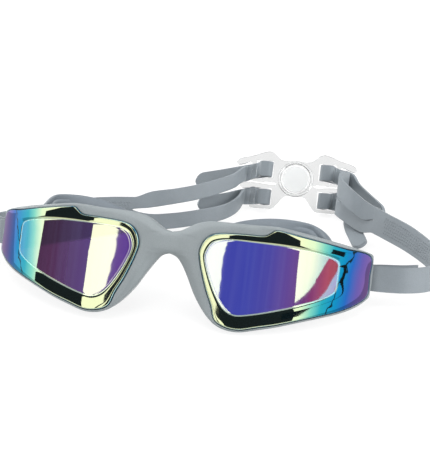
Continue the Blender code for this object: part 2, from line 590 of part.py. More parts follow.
def build():
    wipe()
    stand = bpy.data.objects.new("stand", None)
    bpy.context.scene.collection.objects.link(stand)
    stand.location = Vector(SHIFT) * MM
    stand.rotation_euler = (-math.radians(LEAN), 0, 0)
    front = bpy.data.objects.new("front", None)
    bpy.context.scene.collection.objects.link(front)
    front.parent = stand
    front.rotation_euler = (0, 0, math.radians(FRONT_TURN))
    eye = {"lens": outline(LENS_EDGE), "window": outline(WINDOW_EDGE),
           "front": outline(FRAME_FRONT, smooth=False), "back": outline(FRAME_BACK, smooth=False),
           "bulge": outline(SEAL_BULGE), "rim": outline(SEAL_RIM),
           "temple": temple_weight(), "nose": nose_weight()}
    grey, seal_grey = (0.31, 0.35, 0.37), (0.24, 0.28, 0.32)
    mesh_object("face_frame", frame_mesh(eye), grey, 0.5, parent=front)
    for name, side in (("left", -1), ("right", 1)):
        def put(piece, bm, *look, **more):
            if side < 0:
                mirrored(bm)
            mesh_object(piece + "_" + name, bm, *look, parent=front, **more)
        put("lens", lens_mesh(eye), (0.10, 0.16, 0.45), 0.08, 0.6)
        put("lens_seat", seat_mesh(eye), (0.02, 0.03, 0.04), 0.35)
        put("eye_seal", seal_mesh(eye), seal_grey, 0.55)
        put("temple_bracket", bracket_mesh(), grey, 0.5, smooth=False)
        put("strap_pin", cylinder_mesh(PIN, PIN_RADIUS, PIN_HALF), (0.6, 0.6, 0.62), 0.3)
    mesh_object("strap_left", strap_mesh(-1, LEFT_BAND, LEFT_MAIN, LEFT_UPPER, LEFT_LOWER,
                                         LEFT_UPPER_TAIL, LEFT_LOWER_TAIL), grey, 0.55, parent=stand)
    mesh_object("strap_right", strap_mesh(1, RIGHT_BAND, RIGHT_MAIN, RIGHT_UPPER, RIGHT_LOWER,
                                          RIGHT_UPPER_TAIL, RIGHT_LOWER_TAIL), grey, 0.55, parent=stand)
    mesh_object("clip_body", clip_mesh(), (0.75, 0.76, 0.76), 0.1, parent=stand, smooth=False)
    mesh_object("clip_disc", disc_mesh(), (0.9, 0.9, 0.9), 0.2, parent=stand, smooth=False)


build()
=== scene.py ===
"""Looks of the swim goggles: soft grey frame and seals, rainbow mirror lenses, Y-shaped straps with
grip studs and a clear back clip, on a white sweep with strip lights. Tables are in millimetres in the
goggles' own upright axes (x across, y back, z up, zero on top of the nose bridge)."""

import math

import bmesh
import bpy
import numpy as np
from bpy.props import FloatProperty, FloatVectorProperty, IntProperty, PointerProperty
from mathutils import Matrix, Vector


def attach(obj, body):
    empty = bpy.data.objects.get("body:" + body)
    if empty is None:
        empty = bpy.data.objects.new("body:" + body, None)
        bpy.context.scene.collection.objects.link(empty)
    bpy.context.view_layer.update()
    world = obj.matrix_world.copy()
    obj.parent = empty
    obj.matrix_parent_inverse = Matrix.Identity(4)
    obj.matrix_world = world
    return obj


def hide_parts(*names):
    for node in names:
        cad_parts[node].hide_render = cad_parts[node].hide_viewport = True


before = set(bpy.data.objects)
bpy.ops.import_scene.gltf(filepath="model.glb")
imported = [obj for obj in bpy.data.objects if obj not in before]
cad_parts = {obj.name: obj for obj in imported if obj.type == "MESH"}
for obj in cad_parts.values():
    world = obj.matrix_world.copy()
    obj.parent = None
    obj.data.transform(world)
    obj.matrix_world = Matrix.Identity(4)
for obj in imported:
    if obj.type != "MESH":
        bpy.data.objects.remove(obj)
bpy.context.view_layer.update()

bl_info = {
    "name": "Swim Goggles",
    "version": (1, 0, 0),
    "blender": (4, 5, 0),
    "location": "View3D > Sidebar > Goggles",
    "description": "Builds the visible pieces of a pair of wrapped mirror-lens swim goggles",
    "category": "Object",
}

MM = 0.001
LEAN = 27.85                  # degrees that the goggles lean back as they lie
SHIFT = (-2.93, -54.97, 35.87)  # from the top of the nose bridge to the middle of the base
FRONT_TURN = 3.5              # turn of the front about its upright, +X end further back
FOLLOW = (82.0, 108.0)        # half widths where a strap stops and starts turning with the front
TO_ROW = Matrix.Translation(Vector(SHIFT) * MM) @ Matrix.Rotation(-math.radians(LEAN), 4, "X")
FRONT_TO_ROW = TO_ROW @ Matrix.Rotation(math.radians(FRONT_TURN), 4, "Z")
MERGE = 2e-6                  # metres; welds points that are made to meet

# ---- shared dimensions of the front (mm) ----
LENS_FLAT = 25.0              # half width of the flat middle of the lens surface
LENS_RADIUS = 80.0            # radius of the wrapped outer part
LENS_THICK = 1.8
GAP = 0.3
BODY_FRONT = 4.1
BODY_BACK = 8.0
SEAL_FRONT = 8.3
BRIDGE_FRONT = 1.3
BRIDGE_BACK = 6.6
BRIDGE_ROUND = 1.7            # how far the edges of the bridge roll back
COUNTS = (64, 10, 26, 52, 12)  # stations on the top, bridge, nose, bottom and temple edges

# ---- outlines of one eye, (x, z) pairs in five runs: top, bridge, nose, bottom, temple ----
LENS_EDGE = (
    ((80.5, 0), (70.7, 1.5), (61.3, 2.9), (51.8, 4.2), (46, 5.0), (42.8, 5.2), (41, 3.8),
     (39, 2.5), (30, 2.0), (20, 1.2), (16.6, 0.0), (14.3, -2.5)),
    ((14.3, -2.5), (13.0, -6.0), (13.0, -8.2)),
    ((13.0, -8.2), (14.2, -13), (17.3, -21.5), (20.4, -28), (21.3, -31.0), (22.4, -33.4)),
    ((22.4, -33.4), (25, -35.0), (28.8, -36), (33, -36), (39.7, -34.2), (47, -32.2), (56, -29.1),
     (64.7, -26), (71, -23.5), (77, -20), (80.7, -16.2)),
    ((80.7, -16.2), (80.9, -8.2), (80.5, 0)),
)
WINDOW_EDGE = (
    ((68, -4), (66, -2.8), (60, -1.6), (50, -0.7), (36, -0.5), (25, -0.7), (20.6, -1.4),
     (17.6, -2.8), (16, -5.2)),
    ((16, -5.2), (15.2, -8.0), (15.5, -10.5)),
    ((15.5, -10.5), (19, -19), (23.2, -26), (26.4, -29.2)),
    ((26.4, -29.2), (30.4, -30.6), (35.5, -29.8), (46, -26.8), (55.5, -23.4), (65, -18.8),
     (68, -16)),
    ((68, -16), (68.4, -10), (68, -4)),
)
FRAME_FRONT = (
    ((82.0, 1.2), (76, 2.6), (67, 4.0), (55, 5.4), (46, 6.6), (42, 6.8), (33, 6.3), (22, 6.3),
     (15, 6.0), (10, 4.7), (6.3, 2.6), (3, 0.7), (0, 0)),
    ((0, 0), (0, -4.6), (0, -9.3)),
    ((0, -9.3), (2.8, -10.3), (5.2, -12.9), (8.5, -18.2), (12, -24.5), (15.5, -29.3),
     (18.6, -32.8), (21.8, -35.3)),
    ((21.8, -35.3), (25, -36.7), (29, -37.4), (33, -37.3), (40, -35.5), (47, -33.5), (56, -30.4),
     (65, -27.3), (71.5, -24.8), (77.8, -21.2), (82.2, -16.8)),
    ((82.2, -16.8), (82.4, -8.2), (82.0, 1.2)),
)
FRAME_BACK = (
    ((81.6, 0.8), (75, 2.6), (66, 4.6), (55, 6.2), (46, 7.0), (40, 7.0), (33, 6.6), (22, 6.2),
     (15, 5.6), (10, 4.3), (6.3, 2.3), (3, 0.3), (0, -0.4)),
    ((0, -0.4), (0, -4.6), (0, -8.9)),
    ((0, -8.9), (2.8, -9.9), (5.6, -12.9), (9.3, -18.2), (13, -24.5), (16.5, -29), (19.6, -32),
     (22.8, -33.6)),
    ((22.8, -33.6), (26, -34.2), (29, -34.3), (34, -34.2), (40, -34.2), (47, -33.4), (56, -30.6),
     (65, -27.2), (71, -24.6), (77, -21), (81.6, -16.4)),
    ((81.6, -16.4), (81.9, -8.2), (81.6, 0.8)),
)
SEAL_BULGE = (
    ((64.2, 4.0), (61.4, 7.8), (56, 10.4), (48, 11.3), (38, 10.9), (28, 9.0), (20, 6.0), (15, 2.4)),
    ((15, 2.4), (12.6, -2), (12.0, -6)),
    ((12.0, -6), (13.4, -13), (16.8, -20), (20.5, -26), (23.4, -29.2)),
    ((23.4, -29.2), (28, -31.6), (34, -32.0), (42, -31.0), (50, -28.8), (57, -26.0), (61.6, -21.6),
     (63.4, -17.6)),
    ((63.4, -17.6), (64.4, -7), (64.2, 4.0)),
)
SEAL_RIM = (
    ((63.5, 1.6), (60.5, 5.4), (54, 8.4), (46, 9.6), (36, 9.0), (28, 6.8), (22, 3.4), (18.6, 0)),
    ((18.6, 0), (17.2, -3.4), (17, -7)),
    ((17, -7), (18.4, -13), (21.4, -18.6), (25, -22.6), (27.4, -23.8)),
    ((27.4, -23.8), (32, -25.2), (38, -25.2), (46, -23.9), (53, -21.8), (59, -17.6), (62.4, -13.4)),
    ((62.4, -13.4), (64, -6), (63.5, 1.6)),
)

# ---- straps: (x, y, z, width, roll in degrees) ----
PIN = (77.0, 31.5, -8.5)
PIN_RADIUS = 1.3
RIGHT_BAND = ((98.2, 39.6, -5.6, 10.4, 0), (92, 36.0, -6.7, 10.4, 0), (85, 34.2, -7.4, 10.4, 0),
              (80, 33.9, -8.0, 10.4, 0))
RIGHT_MAIN = ((80, 29.1, -8.5, 10.8, 0), (85.5, 29.8, -8.5, 10.8, 0), (94.5, 33.2, -7.8, 10.8, 0),
              (102, 41.5, -6.0, 10.8, 0), (105.4, 50, -3.4, 10.8, 0), (105.2, 58.5, 1.4, 11, 0),
              (99.6, 66, 6.1, 11.4, 0), (90.2, 73, 11.7, 12, 0), (79.4, 79.6, 16.4, 12, 0),
              (73, 83.6, 19.2, 12.4, 0))
RIGHT_UPPER = ((67.3, 86.2, 23.6, 9.0, 0), (60.9, 88.2, 27.6, 9.8, 0), (55.8, 92.2, 31.4, 9.6, 0),
               (52.6, 98.4, 35.2, 8.6, 0), (52.0, 104.6, 38.3, 7.8, 0), (53.2, 110.8, 40.2, 7.8, 0))
RIGHT_LOWER = ((67.1, 88.2, 17.0, 7.8, 0), (60.4, 93.2, 20.3, 8.0, 0), (54.2, 98.6, 23.6, 7.8, 0),
               (51.8, 104.0, 25.6, 7.8, 0), (52.6, 110.4, 26.9, 7.8, 0))
RIGHT_UPPER_TAIL = ((55.4, 118.4, 40.2, 7.8, 0), (60.0, 113.8, 34.8, 7.8, 0),
                    (65.5, 108.6, 30.4, 7.8, 0), (72, 102.6, 25.6, 7.8, 0), (76, 98.4, 22.4, 7.8, 0))
RIGHT_LOWER_TAIL = ((55.4, 117.6, 26.4, 7.8, -4), (57.0, 110.5, 23.4, 7.8, -18),
                    (59.6, 101.5, 18.6, 7.8, -38), (62.8, 92.5, 13.6, 7.8, -52),
                    (66.0, 85.5, 9.4, 7.8, -58), (68.6, 80.0, 6.2, 7.8, -58))
LEFT_BAND = tuple((-x, y, z, w, r) for x, y, z, w, r in RIGHT_BAND)
LEFT_MAIN = ((-80, 29.1, -8.5, 10.8, 0), (-85.5, 29.8, -8.5, 10.8, 0), (-94.0, 33.6, -8.0, 10.8, 0),
             (-99.4, 41, -6.4, 10.8, 0), (-97.5, 50, -3.6, 10.8, 0), (-89.5, 56.0, -0.4, 11, 0),
             (-78, 59.4, 3.0, 11.4, 0), (-65, 62.6, 6.6, 12, 0), (-52, 66.6, 9.2, 12, 0),
             (-42.5, 71, 10.4, 12.4, 0))
LEFT_UPPER = ((-35, 74.6, 16.4, 8.0, 0), (-25, 79.6, 19.6, 7.8, 0), (-15, 86.4, 23.6, 7.8, 0),
              (-6, 95.4, 28.8, 7.8, 0), (-0.8, 101.0, 32.6, 7.8, 0), (0.9, 105.4, 35.6, 7.8, 0))
LEFT_LOWER = ((-35, 74.6, 5.6, 7.8, 0), (-25, 79.0, 7.4, 7.8, 0), (-13, 84.8, 11.0, 7.8, 0),
              (-3, 92.4, 15.2, 7.8, 0), (1.0, 99.0, 19.0, 7.8, 0), (2.2, 104.8, 22.4, 7.8, 0))
LEFT_UPPER_TAIL = ((-2, 113.6, 37.4, 7.8, 0), (-12, 113.4, 34.6, 7.8, 0), (-24.4, 113.2, 31.4, 7.8, 0))
LEFT_LOWER_TAIL = ((-0.6, 112.0, 25.2, 7.8, 0), (-5.6, 107.0, 22.6, 7.8, 0),
                   (-11.4, 101.0, 20.2, 7.8, 0), (-17.0, 96.4, 18.6, 7.8, 0))
# strap path over one bar of the clip, (distance from the clip's middle, height above its face)
LOOP = ((26.2, 1.0), (26.0, -0.6), (25.0, -2.2), (23.4, -2.9), (21.5, -3.0), (19.9, -2.7),
        (18.7, -1.7), (18.3, -0.5), (18.2, 0.6), (18.0, 1.5), (17.3, 2.3), (16.3, 2.5),
        (14.7, 2.5), (13.7, 2.3), (13.0, 1.5), (12.8, 0.6), (12.8, -0.6), (12.95, -1.7),
        (13.8, -3.1), (15.5, -4.3), (18.2, -4.8), (22, -5.0))
UPPER_V = (0.8, 0.9, 1.3, 2.1, 3.0, 3.6, 4.0, 4.2)
LOWER_V = (-10.8, -10.8, -10.7, -10.5, -10.3, -10.2, -10.1, -10.1)
GRIP_SPANS = {1: (78.0, 101.0), -1: (-57.0, -43.0)}  # the studded stretch of each strap, by x

# ---- the clip, in its own axes (u along it, v up its face, n towards the front) ----
CLIP_CENTRE = (28.0, 112.9, 37.4)
CLIP_TURN = 7.0
CLIP_TILT = 2.4
CLIP_HALF = 1.0
DISC_RADIUS = 6.8
HALF_CLIP = ((0, -9.3), (3.2, -8.9), (5.6, -9.7), (8.5, -13.4), (11, -15.9), (15, -16.2), (21, -16.2),
             (22.6, -15.4), (22.8, -14), (22.6, -6.3), (27.0, -6.2), (28.2, -5.0), (27.2, -3.6),
             (22, -3.2), (16, -3.5), (10.8, -3.9), (9.4, -3.1), (10.8, -2.4), (15, -2.5),
             (21.8, -2.5), (22.7, -1.6), (22.8, 7.2), (28.2, 5.7), (30.1, 5.7), (30.6, 6.9),
             (29.2, 8.5), (22, 10.7), (17, 12.6), (13.8, 13.3), (11.4, 12.4), (8, 9.5), (5.2, 8.9),
             (3, 9.1))
SLOTS = ((16.9, 20.3, -1.2, 8.6), (11.6, 14.3, -0.2, 8.6), (16.9, 20.3, -14.5, -5.6),
         (11.6, 14.3, -14.5, -5.6))

# ---- camera and strip lights (degrees) ----
CAMERA_FROM_BRIDGE = (118.75, -351.3, 170.5)
CAMERA_LENS = 76.4
CAMERA_DOWN = 25.05
CAMERA_TURN = 15.9
# name, turns from the front, (low, high) at the first turn and (low, high) at the last turn
STRIPS = (
    ("strip_left", (-29.0, -14.7), (-2, 52), (-2, 52)),
    ("strip_middle", (-12.0, -7.0), (-2, 52), (-2, 52)),
    ("strip_right", (41.8, 112.0), (-2, 46), (-6, 46)),
    ("strip_far_left", (-136.0, -66.8), (-6, 42), (-2, 42)),
)
DARK_BAR = ((34.0, 77.0), (20.5, 21.3), (10.0, 12.6))  # a dark arm in front of the right strip
TOP_LIGHT = ((0, 360), (60, 90), (60, 90))
LIGHT_DISTANCE = 5.0          # metres from the goggles to the lights
BAR_DISTANCE = 4.8

# ---- what the white floor and the surroundings give off, by the kind of ray that meets them ----
FLOOR_GLOW = 0.22
FLOOR_IN_MIRRORS = 1.5
FLOOR_THROUGH_CLEAR = -1.12   # on top of the one before, which clear pieces see too
FLOOR_TO_CAMERA = 0.6
SKY_THROUGH_CLEAR = 0.12
SKY_FLOOR = 0.02              # what every other ray sees


# ---- settings shown in the sidebar ----
def length(name, description, default):
    return FloatProperty(name=name, description=description, default=default, unit="LENGTH",
                         precision=5)


def colour(name, description, default):
    return FloatVectorProperty(name=name, description=description, default=default, size=3,
                               subtype="COLOR", min=0.0, max=1.0)


class GogglesSizes(bpy.types.PropertyGroup):
    """Sizes of the pieces."""
    frame_round: length("Frame edge", "Roundness of the frame's edges", 0.0006)
    seal_round: length("Seal edge", "Roundness of the seals' edges", 0.0011)
    groove_depth: length("Window groove", "Depth of the line moulded round the window", 0.00014)
    strap_thick: length("Strap thickness", "Thickness of the straps", 0.0016)
    branch_width: length("Branch width", "Width of the two branches of a strap", 0.0078)
    strap_edge: length("Strap edge", "Rounding of the strap's edges", 0.0004)
    stud_radius: length("Stud radius", "Radius of one grip stud", 0.00042)
    stud_height: length("Stud height", "Height of one grip stud", 0.00028)
    stud_pitch: length("Stud pitch", "Distance between grip studs", 0.00135)
    stud_rows: IntProperty(name="Stud rows", description="Rows of grip studs", default=6, min=1)
    clip_edge: length("Clip edge", "Rounding of the clip's edges", 0.00042)


class GogglesLooks(bpy.types.PropertyGroup):
    """Colours of the pieces and strength of the lights."""
    silicone: colour("Frame", "Colour of the frame's silicone", (0.222, 0.250, 0.260))
    strap: colour("Strap", "Colour of the straps' silicone", (0.200, 0.228, 0.250))
    seal: colour("Seal", "Colour of the eye seals", (0.140, 0.166, 0.190))
    rim: colour("Lens rim", "Dark band between the window and the lens edge", (0.004, 0.009, 0.011))
    # The window line colour is a painted highlight, laid along the real moulded groove where it would
    # catch the light.
    line: colour("Window line", "Light line moulded round the window", (0.42, 0.52, 0.46))
    clear: colour("Clip", "Tint of the clear clip", (0.975, 0.98, 0.98))
    milky: colour("Disc", "Tint of the milky disc", (0.80, 0.81, 0.81))
    mirror_power: FloatProperty(name="Strip light", description="Brightness of the strip lights",
                                default=3.6, min=0.0)
    top_power: FloatProperty(name="Top light", description="Brightness of the overhead light",
                             default=2.9, min=0.0)
    sky_power: FloatProperty(name="Fill light", description="Brightness of the fill all round",
                             default=0.30, min=0.0)


# ---- curves and rings ----
def spline(points, per=None, step=None, closed=False):
    """Catmull-Rom curve through the points; per gives the samples in each span, or step a length."""
    pts = [np.array(p, float) for p in points]
    n = len(pts)
    spans = n if closed else n - 1
    out = []
    for i in range(spans):
        p1, p2 = pts[i], pts[(i + 1) % n]
        p0 = pts[i - 1] if (closed or i > 0) else 2 * p1 - p2
        p3 = pts[(i + 2) % n] if (closed or i + 2 < n) else 2 * p2 - p1
        k = per or max(1, int(math.ceil(np.linalg.norm((p2 - p1)[:3]) / step)))
        d0 = max(np.linalg.norm(p1 - p0), 1e-6) ** 0.5
        d1 = max(np.linalg.norm(p2 - p1), 1e-6) ** 0.5
        d2 = max(np.linalg.norm(p3 - p2), 1e-6) ** 0.5
        m1 = ((p1 - p0) / d0 - (p2 - p0) / (d0 + d1) + (p2 - p1) / d1) * d1
        m2 = ((p2 - p1) / d1 - (p3 - p1) / (d1 + d2) + (p3 - p2) / d2) * d1
        for j in range(k):
            t = j / k
            h = (2 * t**3 - 3 * t**2 + 1, t**3 - 2 * t**2 + t, -2 * t**3 + 3 * t**2, t**3 - t**2)
            out.append(h[0] * p1 + h[1] * m1 + h[2] * p2 + h[3] * m2)
    if not closed:
        out.append(pts[-1])
    return np.array(out)


def resample(curve, n):
    """n points evenly spaced by length along the curve, without its last point."""
    seg = np.linalg.norm(np.diff(curve, axis=0), axis=1)
    s = np.concatenate(([0], np.cumsum(seg)))
    want = np.linspace(0, s[-1], n, endpoint=False)
    return np.stack([np.interp(want, s, curve[:, k]) for k in range(curve.shape[1])], axis=1)


def outline(runs, smooth=True):
    """The five runs as one closed ring of sum(COUNTS) stations."""
    if not smooth:
        return np.concatenate([resample(spline(r, per=8), n) for r, n in zip(runs, COUNTS)])
    dense = spline([p for r in runs for p in r[:-1]], per=8, closed=True)
    dense = np.concatenate((dense, dense[:1]))
    rows, at = [], 0
    for r, n in zip(runs, COUNTS):
        end = at + 8 * (len(r) - 1)
        rows.append(resample(dense[at:end + 1], n))
        at = end
    return np.concatenate(rows)


def surface(x):
    """Depth (y) of the lens front and its turn angle at half-width x."""
    a = min(max(0.0, abs(x) - LENS_FLAT), LENS_RADIUS * 0.98)
    return LENS_RADIUS - math.sqrt(LENS_RADIUS**2 - a * a), math.asin(a / LENS_RADIUS)


def behind(xz, depth):
    """Points at the given depths behind the lens front, measured square to it."""
    rows = []
    for (x, z), d in zip(xz, np.broadcast_to(depth, (len(xz),))):
        y, turn = surface(x)
        rows.append((x - math.sin(turn) * d, y + math.cos(turn) * d, z))
    return np.array(rows)


def mix(a, b, k):
    """Points between two rings, k of the way from a to b."""
    k = np.broadcast_to(k, (len(a),))[:, None]
    return a * (1 - k) + b * k


def between(a, b, k):
    return a * (1 - k) + b * k


def towards(a, b, dist):
    """a moved by dist towards b, at most nearly all the way."""
    d = b - a
    size = np.linalg.norm(d, axis=1)[:, None]
    dist = np.broadcast_to(dist, (len(a),))[:, None]
    return a + d * np.minimum(dist / np.maximum(size, 1e-9), 0.45)


def ease(t):
    t = np.clip(t, 0, 1)
    return t * t * (3 - 2 * t)


def temple_weight():
    """1 on the temple edge, easing to 0 along the first part of the top and bottom edges."""
    top, bridge, nose, bottom, temple = COUNTS
    w_top = 1 - ease(np.arange(top) / (top * 0.24))
    w_bot = ease((np.arange(bottom) - bottom * 0.70) / (bottom * 0.26))
    return np.concatenate((w_top, np.zeros(bridge + nose), w_bot, np.ones(temple)))


def nose_weight():
    """1 on the bridge, easing to 0 outwards along the top and down the nose edge."""
    top, bridge, nose, bottom, temple = COUNTS
    w_top = ease((np.arange(top) - top * 0.62) / (top * 0.36))
    w_nose = 1 - ease(np.arange(nose) / (nose * 1.05))
    return np.concatenate((w_top, np.ones(bridge), w_nose, np.zeros(bottom + temple)))


def one_eye():
    return {"lens": outline(LENS_EDGE), "window": outline(WINDOW_EDGE),
            "front": outline(FRAME_FRONT, smooth=False), "back": outline(FRAME_BACK, smooth=False),
            "bulge": outline(SEAL_BULGE), "rim": outline(SEAL_RIM),
            "temple": temple_weight(), "nose": nose_weight()}


def rounded(rails, radius):
    """Each rail of a closed section replaced by two, so that every edge is blunt."""
    out = []
    for j, rail in enumerate(rails):
        out.append(towards(rail, rails[j - 1], radius))
        out.append(towards(rail, rails[(j + 1) % len(rails)], radius))
    return out


# ---- meshes ----
def loft(bm, rails, around=True, section=True, marks=None):
    """A grid laid over the rails: around closes it along them, section from the last to the first.
    marks gives one number for each rail, kept as the mesh attribute band."""
    n, k = len(rails[0]), len(rails)
    columns, rows = (n if around else n - 1), (k if section else k - 1)
    band = bm.verts.layers.float.get("band") or bm.verts.layers.float.new("band")
    made = bmesh.ops.create_grid(bm, x_segments=columns, y_segments=rows, size=1.0)["verts"]
    for v in made:
        i = round((v.co.x + 1) / 2 * columns) % n
        j = round((v.co.y + 1) / 2 * rows) % k
        v.co = Vector(rails[j][i]) * MM
        v[band] = marks[j] if marks else 0.0
    return made


def weld(bm):
    bmesh.ops.remove_doubles(bm, verts=bm.verts[:], dist=MERGE)


def close_ends(bm):
    bmesh.ops.holes_fill(bm, edges=[e for e in bm.edges if e.is_boundary], sides=0)


def finish_piece(name, bm, material, body, replaces=(), side=1, level=0, even=False):
    """Turns the mesh outwards, puts it in its place and gives it its body and finish."""
    if side < 0:
        bmesh.ops.scale(bm, vec=(-1, 1, 1), verts=bm.verts[:])
    bmesh.ops.recalc_face_normals(bm, faces=bm.faces[:])
    if bm.calc_volume(signed=True) < 0:
        bmesh.ops.reverse_faces(bm, faces=bm.faces[:])
    bmesh.ops.transform(bm, matrix=FRONT_TO_ROW if body == "front" else TO_ROW, verts=bm.verts[:])
    me = bpy.data.meshes.new(name)
    bm.to_mesh(me)
    bm.free()
    me.shade_smooth()
    me.materials.append(material)
    ob = bpy.data.objects.new(name, me)
    bpy.context.scene.collection.objects.link(ob)
    if level:
        smooth = ob.modifiers.new("smooth", "SUBSURF")
        smooth.levels = smooth.render_levels = level
    if even:
        ob.modifiers.new("even", "WEIGHTED_NORMAL").weight = 100
    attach(ob, body)
    if replaces:
        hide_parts(*replaces)
    return ob


# ---- finishes ----
def new_material(name):
    mat = bpy.data.materials.new(name)
    mat.use_nodes = True
    return mat, mat.node_tree, mat.node_tree.nodes["Principled BSDF"]


def node(tree, kind, inputs=None, **settings):
    """A node with its settings; an input that is a socket is linked, and any other is its value."""
    made = tree.nodes.new(kind)
    for key, value in settings.items():
        setattr(made, key, value)
    for key, value in (inputs or {}).items():
        if isinstance(value, bpy.types.NodeSocket):
            tree.links.new(value, made.inputs[key])
        else:
            made.inputs[key].default_value = value
    return made


def maths(tree, operation, *values, clamp=False):
    return node(tree, "ShaderNodeMath", dict(enumerate(values)), operation=operation,
                use_clamp=clamp).outputs[0]


def ramp(tree, factor, stops, interpolation="LINEAR"):
    """A colour ramp; stops are (position, colour)."""
    made = node(tree, "ShaderNodeValToRGB", {"Fac": factor})
    made.color_ramp.interpolation = interpolation
    elements = made.color_ramp.elements
    while len(elements) > 1:
        elements.remove(elements[-1])
    elements[0].position = stops[0][0]
    elements[0].color = (*stops[0][1], 1)
    for position, shade in stops[1:]:
        elements.new(position).color = (*shade, 1)
    return made.outputs["Color"]


def blend_colour(tree, factor, a, b, kind="MIX"):
    made = node(tree, "ShaderNodeMix", {"Factor": factor}, data_type="RGBA", blend_type=kind)
    for socket, value in zip([s for s in made.inputs if s.type == "RGBA"], (a, b)):
        if isinstance(value, bpy.types.NodeSocket):
            tree.links.new(value, socket)
        else:
            socket.default_value = (*value, 1)
    return [s for s in made.outputs if s.type == "RGBA"][0]


def noise(tree, place, scale, detail):
    return node(tree, "ShaderNodeTexNoise", {"Vector": place, "Scale": scale,
                                             "Detail": detail}).outputs["Fac"]


def stretch(tree, value, low, high, to_low=0.0, to_high=1.0):
    """The value with low to high stretched over to_low to to_high, and held at both ends."""
    return node(tree, "ShaderNodeMapRange", {"Value": value, "From Min": low, "From Max": high,
                                             "To Min": to_low, "To Max": to_high}).outputs["Result"]


def bump(tree, bsdf, height, strength, distance):
    made = node(tree, "ShaderNodeBump", {"Height": height, "Strength": strength,
                                         "Distance": distance})
    tree.links.new(made.outputs["Normal"], bsdf.inputs["Normal"])


def shade(base, factor):
    return tuple(min(1.0, c * factor) for c in base)


def silicone(name, base, rough=0.5):
    """Satin moulded silicone: a fine matt grain, slow cloudy colour and worn, shinier patches."""
    mat, tree, bsdf = new_material(name)
    place = node(tree, "ShaderNodeTexCoord").outputs["Object"]
    cloud = noise(tree, place, 70.0, 3.0)
    fine = noise(tree, place, 2600.0, 2.0)
    tint = ramp(tree, cloud, ((0.3, shade(base, 0.94)), (0.7, shade(base, 1.06))))
    speck = ramp(tree, fine, ((0.35, (0.95,) * 3), (0.65, (1.04,) * 3)))
    tree.links.new(blend_colour(tree, 1.0, tint, speck, "MULTIPLY"), bsdf.inputs["Base Color"])
    worn = stretch(tree, cloud, 0.3, 0.7, rough - 0.06, rough + 0.06)
    tree.links.new(worn, bsdf.inputs["Roughness"])
    bump(tree, bsdf, fine, 0.25, 0.00008)
    bsdf.inputs["Specular IOR Level"].default_value = 0.42
    bsdf.inputs["Sheen Weight"].default_value = 0.12
    bsdf.inputs["Sheen Roughness"].default_value = 0.45
    return mat


# ---- the mirror coat: (place, tint) from the middle outwards, and (place, colour) from -X to +X ----
TINTS = ((0.0, (0.95, 1.0, 0.60)), (0.60, (0.95, 1.0, 0.60)), (0.67, (0.80, 1.0, 0.62)),
         (0.72, (0.22, 0.70, 0.56)), (0.76, (0.02, 0.42, 0.52)), (0.82, (0.0, 0.28, 0.56)),
         (0.860, (0.015, 0.14, 0.54)), (0.90, (0.14, 0.10, 0.42)), (0.94, (0.24, 0.11, 0.36)),
         (1.0, (0.30, 0.16, 0.38)))
WINDOW_TINTS = ((0.10, (0.055, 0.022, 0.060)), (0.20, (0.085, 0.026, 0.085)),
                (0.26, (0.100, 0.048, 0.160)), (0.31, (0.110, 0.062, 0.230)),
                (0.38, (0.120, 0.046, 0.280)), (0.44, (0.085, 0.036, 0.280)),
                (0.56, (0.048, 0.052, 0.390)), (0.70, (0.048, 0.058, 0.390)),
                (0.745, (0.066, 0.058, 0.350)), (0.79, (0.115, 0.058, 0.290)),
                (0.83, (0.135, 0.026, 0.165)), (0.88, (0.330, 0.058, 0.092)),
                (0.90, (0.300, 0.064, 0.085)))
LENS_REACH = 85.0             # mm from the middle of the goggles at which the tints end
TINT_LEAN = (-0.10, -1.2)     # how the tints shift with height, and their start, in mm
TINT_WOBBLE = 3.0
MARK_AT = 73.3                # where the ragged dark line of the coat starts, at the top
MARK_LEAN = -0.30
MARK_RAGGED = 6.0
SHADED_ABOVE = (0.252, 1.4)   # slope and height of the edge of the shaded part of the -X window
SHADED = (0.016, 0.014, 0.030)
# Painted highlight: the lens's side edge, and its back with it, are coloured light blue for the light
# the edge catches.
LENS_EDGE_HIGHLIGHT = (0.03, 0.26, 0.46)


